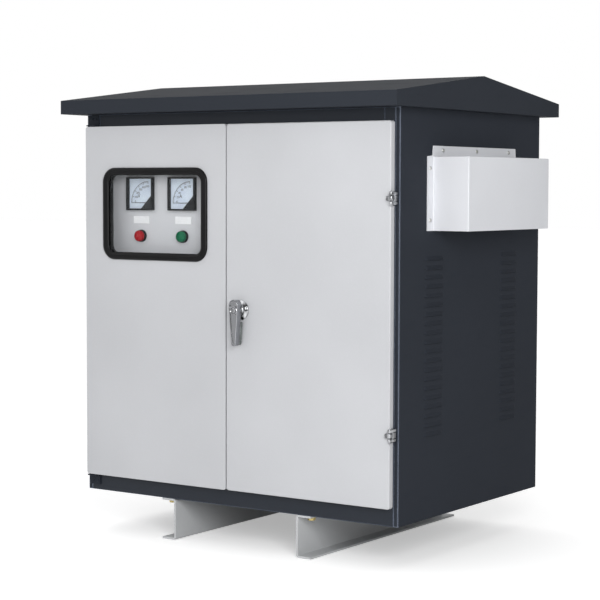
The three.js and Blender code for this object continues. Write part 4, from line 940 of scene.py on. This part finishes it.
LAMP_Z = 631
LAMP_FOOT_Y = 30
red_plastic = moulded_plastic("red_lens_plastic", (0.38, 0.002, 0.008), 0.2, 0.00002, 0.03, 0.25)
green_plastic = moulded_plastic("green_lens_plastic", (0.001, 0.14, 0.06), 0.2, 0.00002, 0.03, 0.25)
white_plate = moulded_plastic("label_white", (0.9, 0.9, 0.92), 0.45, gloss=0.3)
for name, x, plastic in (("red", -303, red_plastic), ("green", -174, green_plastic)):
    rim = bmesh.new()
    turned(rim, [(0, -38), (10.4, -38), (11, -37), (11, 0), (15, 0), (15, 4.4), (14.4, 5.8), (13.2, 6.8),
                 (12.2, 6.9), (11.8, 6.2), (11.8, 4), (0, 4)], (x, LAMP_FOOT_Y, LAMP_Z), TO_FRONT, 40)
    turned(rim, [(11, -6), (14.5, -6), (14.5, -2.4), (11, -2.4), (11, -6)], (x, LAMP_FOOT_Y, LAMP_Z),
           TO_FRONT, 6)
    fitted(closed(rim), f"{name}_lamp_rim", "cabinet", bezel_plastic,
           [f"{name}_lamp_bezel"], smooth=30)
    dome = bmesh.new()
    turned(dome, [(0, 4.3), (11.6, 4.3), (11.6, 7), (13.4, 7.4), (13.4, 12.4), (12.6, 14), (11, 15),
                  (10.4, 14.2), (7.8, 15.8), (4, 17), (0, 17.4)], (x, LAMP_FOOT_Y, LAMP_Z), TO_FRONT, 36)
    fitted(closed(dome), f"{name}_lamp_dome", "cabinet", plastic, [f"{name}_lamp_lens"],
           smooth=30)
    fitted(softened(f"{name}_lamp_label", 0.3), f"{name}_name_plate", "cabinet",
           white_plate, [f"{name}_lamp_label"])

# ---- Cable hood ---------------------------------------------------------------------------------
# A folded box of pale sheet over the cable entry, open downwards, screwed to the side panel
# through two flanges and a top tab.

HOOD_X = (452.3, 543.3)
HOOD_Y = (140, 533)
HOOD_Z = (653, 820)
HOOD_FLANGE = 25
HOOD_TAB = 24
hood_coat = powder_coat("hood_coat", (0.64, 0.65, 0.68), 0.4, 900.0, 0.00005, 0.12)

hood = bmesh.new()
block(hood, HOOD_X, HOOD_Y, HOOD_Z)
open_sides = [face for face in hood.faces if face.normal.z < -0.9 or face.normal.x < -0.9]
bmesh.ops.delete(hood, geom=open_sides, context="FACES_ONLY")


def folded_out(mesh, chosen, move):
    """Extrudes boundary edges into a flange."""
    geometry = bmesh.ops.extrude_edge_only(mesh, edges=chosen)["geom"]
    bmesh.ops.translate(mesh, vec=move, verts=corners_of(geometry))


wall_edges = [edge for edge in hood.edges if all(abs(vert.co.x - HOOD_X[0]) < 0.01 for vert in edge.verts)]
for edge in wall_edges:
    middle = (edge.verts[0].co + edge.verts[1].co) / 2
    if abs(middle.z - HOOD_Z[1]) < 0.1:
        folded_out(hood, [edge], (0, 0, HOOD_TAB))
    elif abs(middle.y - HOOD_Y[0]) < 0.1:
        folded_out(hood, [edge], (0, -HOOD_FLANGE, 0))
    elif abs(middle.y - HOOD_Y[1]) < 0.1:
        folded_out(hood, [edge], (0, HOOD_FLANGE, 0))
folds = [edge for edge in hood.edges if edge.is_manifold and edge.calc_face_angle(0) > 0.5]
rounded(hood, folds, 2.4, 4)
closed(hood)
outermost = max(hood.faces, key=lambda face: face.calc_center_median().x)
if outermost.normal.x < 0:
    bmesh.ops.reverse_faces(hood, faces=hood.faces)
fitted(hood, "folded_hood", "cabinet", hood_coat, ["cable_hood"], sheet=2, rounding=0.3)

hood_screws = bmesh.new()
for y in (127, 546):
    for z in (677, 793):
        screwed(hood_screws, 4.6, (HOOD_X[0], y, z), TO_RIGHT)
for y in (183, 340, 498):
    screwed(hood_screws, 4.6, (HOOD_X[0], y, HOOD_Z[1] + 14), TO_RIGHT)
fitted(hood_screws, "hood_screws", "cabinet", bright_zinc)

# ---- Gland plate --------------------------------------------------------------------------------
# A zinc-plated plate over the cable slot, inside the panel, with four holes bushed by rubber
# grommets that wait for cables.

fitted(softened("gland_plate", 0.4), "entry_plate", "cabinet", bright_zinc, ["gland_plate"])
grommets = bmesh.new()
for y in (230.4, 301.1, 371.9, 442.6):
    turned(grommets, [(15, -5), (21, -5), (24, -3.8), (24, -1.4), (21.6, -1.2), (21.6, 1.2), (24, 1.4),
                      (24, 3.2), (21, 4.4), (16, 4.4), (15, 3), (15, -5)],
           (446.7, y, sum(CABLE_SLOT_Z) / 2), TO_RIGHT, 32)
fitted(closed(grommets), "entry_grommets", "cabinet", seal_rubber, smooth=40)

# ---- Core and clamps ----------------------------------------------------------------------------
# Varnished electrical-steel laminations stacked to three legs and two yokes, pressed together by
# painted channels with through bolts and vertical tie rods.

CORE_Y = 350
CLAMP_LEVELS = (65, 565)


def stacked_steel(name, colour):
    """Thin laminations: fine parallel lines through the stack under dull varnish."""
    stack = Finish(name)
    lines = stack.part("Y") * (math.tau / 0.0021)
    ripple = (lines + stack.noise(30.0, 3.0) * 3.0).sine()
    stain = stack.noise(12.0, 4.0, 0.6)
    tone = stack.blend(ripple.between(-0.9, 0.4), tint(colour, 0.55), tint(colour, 1.1))
    tone = stack.blend(stain.between(0.5, 0.75) * 0.6, tone, (0.09, 0.06, 0.045, 1))
    normal = stack.bumps(ripple + stain, 0.0002)
    return stack.surface(Base_Color=tone, Metallic=0.6, Roughness=0.45 + stain * 0.25, Normal=normal)


lamination = stacked_steel("lamination_steel", (0.1, 0.105, 0.11))
for node in ("core_legs", "core_yoke"):
    fitted(softened(node, 0.8), f"{node}_stack", "cabinet", lamination, [node])

clamp_blue = powder_coat("clamp_blue", (0.03, 0.07, 0.17), 0.45, 700.0, 0.0001, 0.5)
for node in ("lower_clamp_front", "lower_clamp_rear", "upper_clamp_front", "upper_clamp_rear"):
    fitted(softened(node, 1.0), f"{node}_channel", "cabinet", clamp_blue, [node])

core_bolts = bmesh.new()
for level in CLAMP_LEVELS:
    for x in (-230, 0, 230):
        bolted(core_bolts, 12, (x, CORE_Y - 65.4, level), TO_FRONT)
        bolted(core_bolts, 12, (x, CORE_Y + 65.4, level), TO_REAR)
for x in (-292, 292):
    for y in (CORE_Y - 88, CORE_Y + 88):
        turned(core_bolts, [(0, 8.6), (5, 8.6), (5, 632), (4, 634), (0, 634)], (x, y, 0), UPWARDS, 16)
        hexagon(core_bolts, 16, (615.4, 624), (x, y, 0))
        hexagon(core_bolts, 16, (8.7, 16), (x, y, 0))
fitted(closed(core_bolts), "core_bolts", "cabinet", bright_zinc)

# ---- Windings -----------------------------------------------------------------------------------
# Each phase is one tube of layered copper strip in red-brown varnish, with glass-tape bands round
# it and pressboard end rings that keep it off the yokes.

WINDING_PITCH = 230.2
WINDING_Z = (125, 505)
WINDING_RADIUS, WINDING_BORE = 112.1, 80.1


def varnished(name, colour):
    """Strip conductor under varnish: close turns, pooled drips and a soft gloss."""
    coil = Finish(name)
    turns = (coil.part("Z") * (math.tau / 0.0062) + coil.noise(6.0, 2.0) * 1.6).sine()
    pools = coil.noise(18.0, 4.0, 0.6, coil.stretched((1.0, 1.0, 0.35)))
    tone = coil.blend(turns.between(-1.0, 0.2), tint(colour, 0.35), tint(colour, 1.15))
    tone = coil.blend(pools.between(0.52, 0.75) * 0.7, tone, tint(colour, 0.5))
    normal = coil.bumps(turns + pools * 0.6, 0.0005)
    return coil.surface(Base_Color=tone, Roughness=0.3 + pools * 0.3, Normal=normal, Coat_Weight=0.35)


varnish = varnished("winding_varnish_red", (0.26, 0.055, 0.03))
tape = moulded_plastic("glass_tape", (0.55, 0.47, 0.3), 0.7, 0.0001)
for phase, x in (("a", -WINDING_PITCH), ("b", 0), ("c", WINDING_PITCH)):
    low, high = WINDING_Z
    coil = bmesh.new()
    outside = WINDING_RADIUS - 0.8
    profile = [(WINDING_BORE, low), (WINDING_BORE, high), (96, high), (96, high - 3), (98.5, high - 3),
               (98.5, high - 1), (outside - 1, high - 1), (outside, high - 4),
               (outside, low + 4), (outside - 1, low + 1), (98.5, low + 1), (98.5, low + 3),
               (96, low + 3), (96, low), (WINDING_BORE, low)]
    turned(coil, profile, (x, CORE_Y, 0), UPWARDS, 64)
    fitted(closed(coil), f"coil_{phase}", "cabinet", varnish, [f"winding_{phase}"])
    bands = bmesh.new()
    for level in (low + 34, low + 150, high - 150, high - 34):
        turned(bands, [(outside - 0.5, -10), (outside + 0.5, -9.5), (outside + 0.7, 0),
                       (outside + 0.5, 9.5), (outside - 0.5, 10), (outside - 0.5, -10)],
               (x, CORE_Y, level), UPWARDS, 64)
    for step in range(8):
        angle = math.radians(22.5 + step * 45)
        before = set(bands.verts)
        block(bands, (84, 108), (-9, 9), (high + 0.2, high + 9.4), 1)
        block(bands, (84, 108), (-9, 9), (low - 9.4, low - 0.2), 1)
        grown(bands, before, Matrix.Translation((x, CORE_Y, 0)) @ Matrix.Rotation(angle, 4, "Z"))
    fitted(closed(bands), f"coil_bands_{phase}", "cabinet", tape)

# ---- Terminals ----------------------------------------------------------------------------------
# A board of laminated insulation on two feet over the front clamp, with three brass studs for each
# voltage, and flat copper bars up from the windings.


def pressed_board(name, colour):
    """Resin-bonded board: woven texture and a dull sheen."""
    board = Finish(name)
    weave = board.node("ShaderNodeTexWave", {"bands_direction": "X"}, {
        "Vector": board.place, "Scale": 260.0, "Distortion": 1.2})
    cross = board.node("ShaderNodeTexWave", {"bands_direction": "Z"}, {
        "Vector": board.place, "Scale": 260.0, "Distortion": 1.2})
    cloth = weave.out("Fac") * 0.5 + cross.out("Fac") * 0.5
    blotch = board.noise(16.0, 4.0)
    tone = board.blend(blotch.between(0.3, 0.7), tint(colour, 0.8), tint(colour, 1.2))
    tone = board.blend(board.edges(0.001) * 0.5, tone, tint(colour, 1.5))
    normal = board.bumps(cloth, 0.00006)
    return board.surface(Base_Color=tone, Roughness=0.5 + blotch * 0.12, Normal=normal)


def bare_copper(name, colour):
    """Rolled copper bar: drawn lines, darker tarnish in clouds, brighter edges."""
    bar = Finish(name)
    drawn = bar.noise(1.0, 3.0, 0.6, bar.stretched((60.0, 2200.0, 2200.0)))
    tarnish = bar.noise(22.0, 5.0, 0.65).between(0.42, 0.72)
    tone = bar.blend(tarnish, colour, tint(colour, 0.45))
    tone = bar.blend(bar.edges(0.001) * 0.5, tone, tint(colour, 1.5))
    normal = bar.bumps(drawn, 0.00003)
    return bar.surface(Base_Color=tone, Metallic=1.0, Roughness=0.28 + tarnish * 0.3, Normal=normal)


board_resin = pressed_board("board_resin", (0.22, 0.05, 0.028))
copper = bare_copper("busbar_copper", (0.72, 0.3, 0.14, 1))
fitted(softened("terminal_board", 1.0), "stud_board", "cabinet", board_resin,
       ["terminal_board"])

BOARD_Y = 267.2
STUD_Z = 700
studs = bmesh.new()
for x in (-190, -114, -38, 38, 114, 190):
    for direction, y in ((TO_FRONT, BOARD_Y - 6.1), (TO_REAR, BOARD_Y + 6.1)):
        turned(studs, [(0, 0), (13, 0), (13, 2.4), (5, 2.4), (5, 26), (4, 27.4), (0, 27.4)],
               (x, y, STUD_Z), direction, 20)
        hexagon(studs, 17, (2.4, 10), (x, y, STUD_Z), direction)
brass = zinc_plate("stud_brass", (0.72, 0.55, 0.26), 0.3)
fitted(closed(studs), "terminal_studs", "cabinet", brass)

bars = bmesh.new()
for x, stud in ((-WINDING_PITCH, -190), (0, -38), (WINDING_PITCH, 190)):
    block(bars, (stud - 12, stud + 12), (BOARD_Y + 8.8, BOARD_Y + 11.8), (640, 714), 0.6)
    span = sorted((x, stud))
    block(bars, (span[0] - 12, span[1] + 12), (BOARD_Y + 8.8, BOARD_Y + 11.8), (628, 652), 0.6)
fitted(closed(bars), "terminal_bars", "cabinet", copper)

# ---- Earth bar ----------------------------------------------------------------------------------
# A drilled copper bar on two feet at the back of the floor, with its clamping bolts.

fitted(softened("earth_bar", 0.6), "earth_rail", "cabinet", copper, ["earth_bar"])
earth_bolts = bmesh.new()
for x in (-84, -50, -17, 17, 50, 84):
    bolted(earth_bolts, 6, (x, 634.3, 18.3), TO_FRONT)
fitted(closed(earth_bolts), "earth_bolts", "cabinet", bright_zinc)

# ---- Size ---------------------------------------------------------------------------------------

low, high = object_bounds()
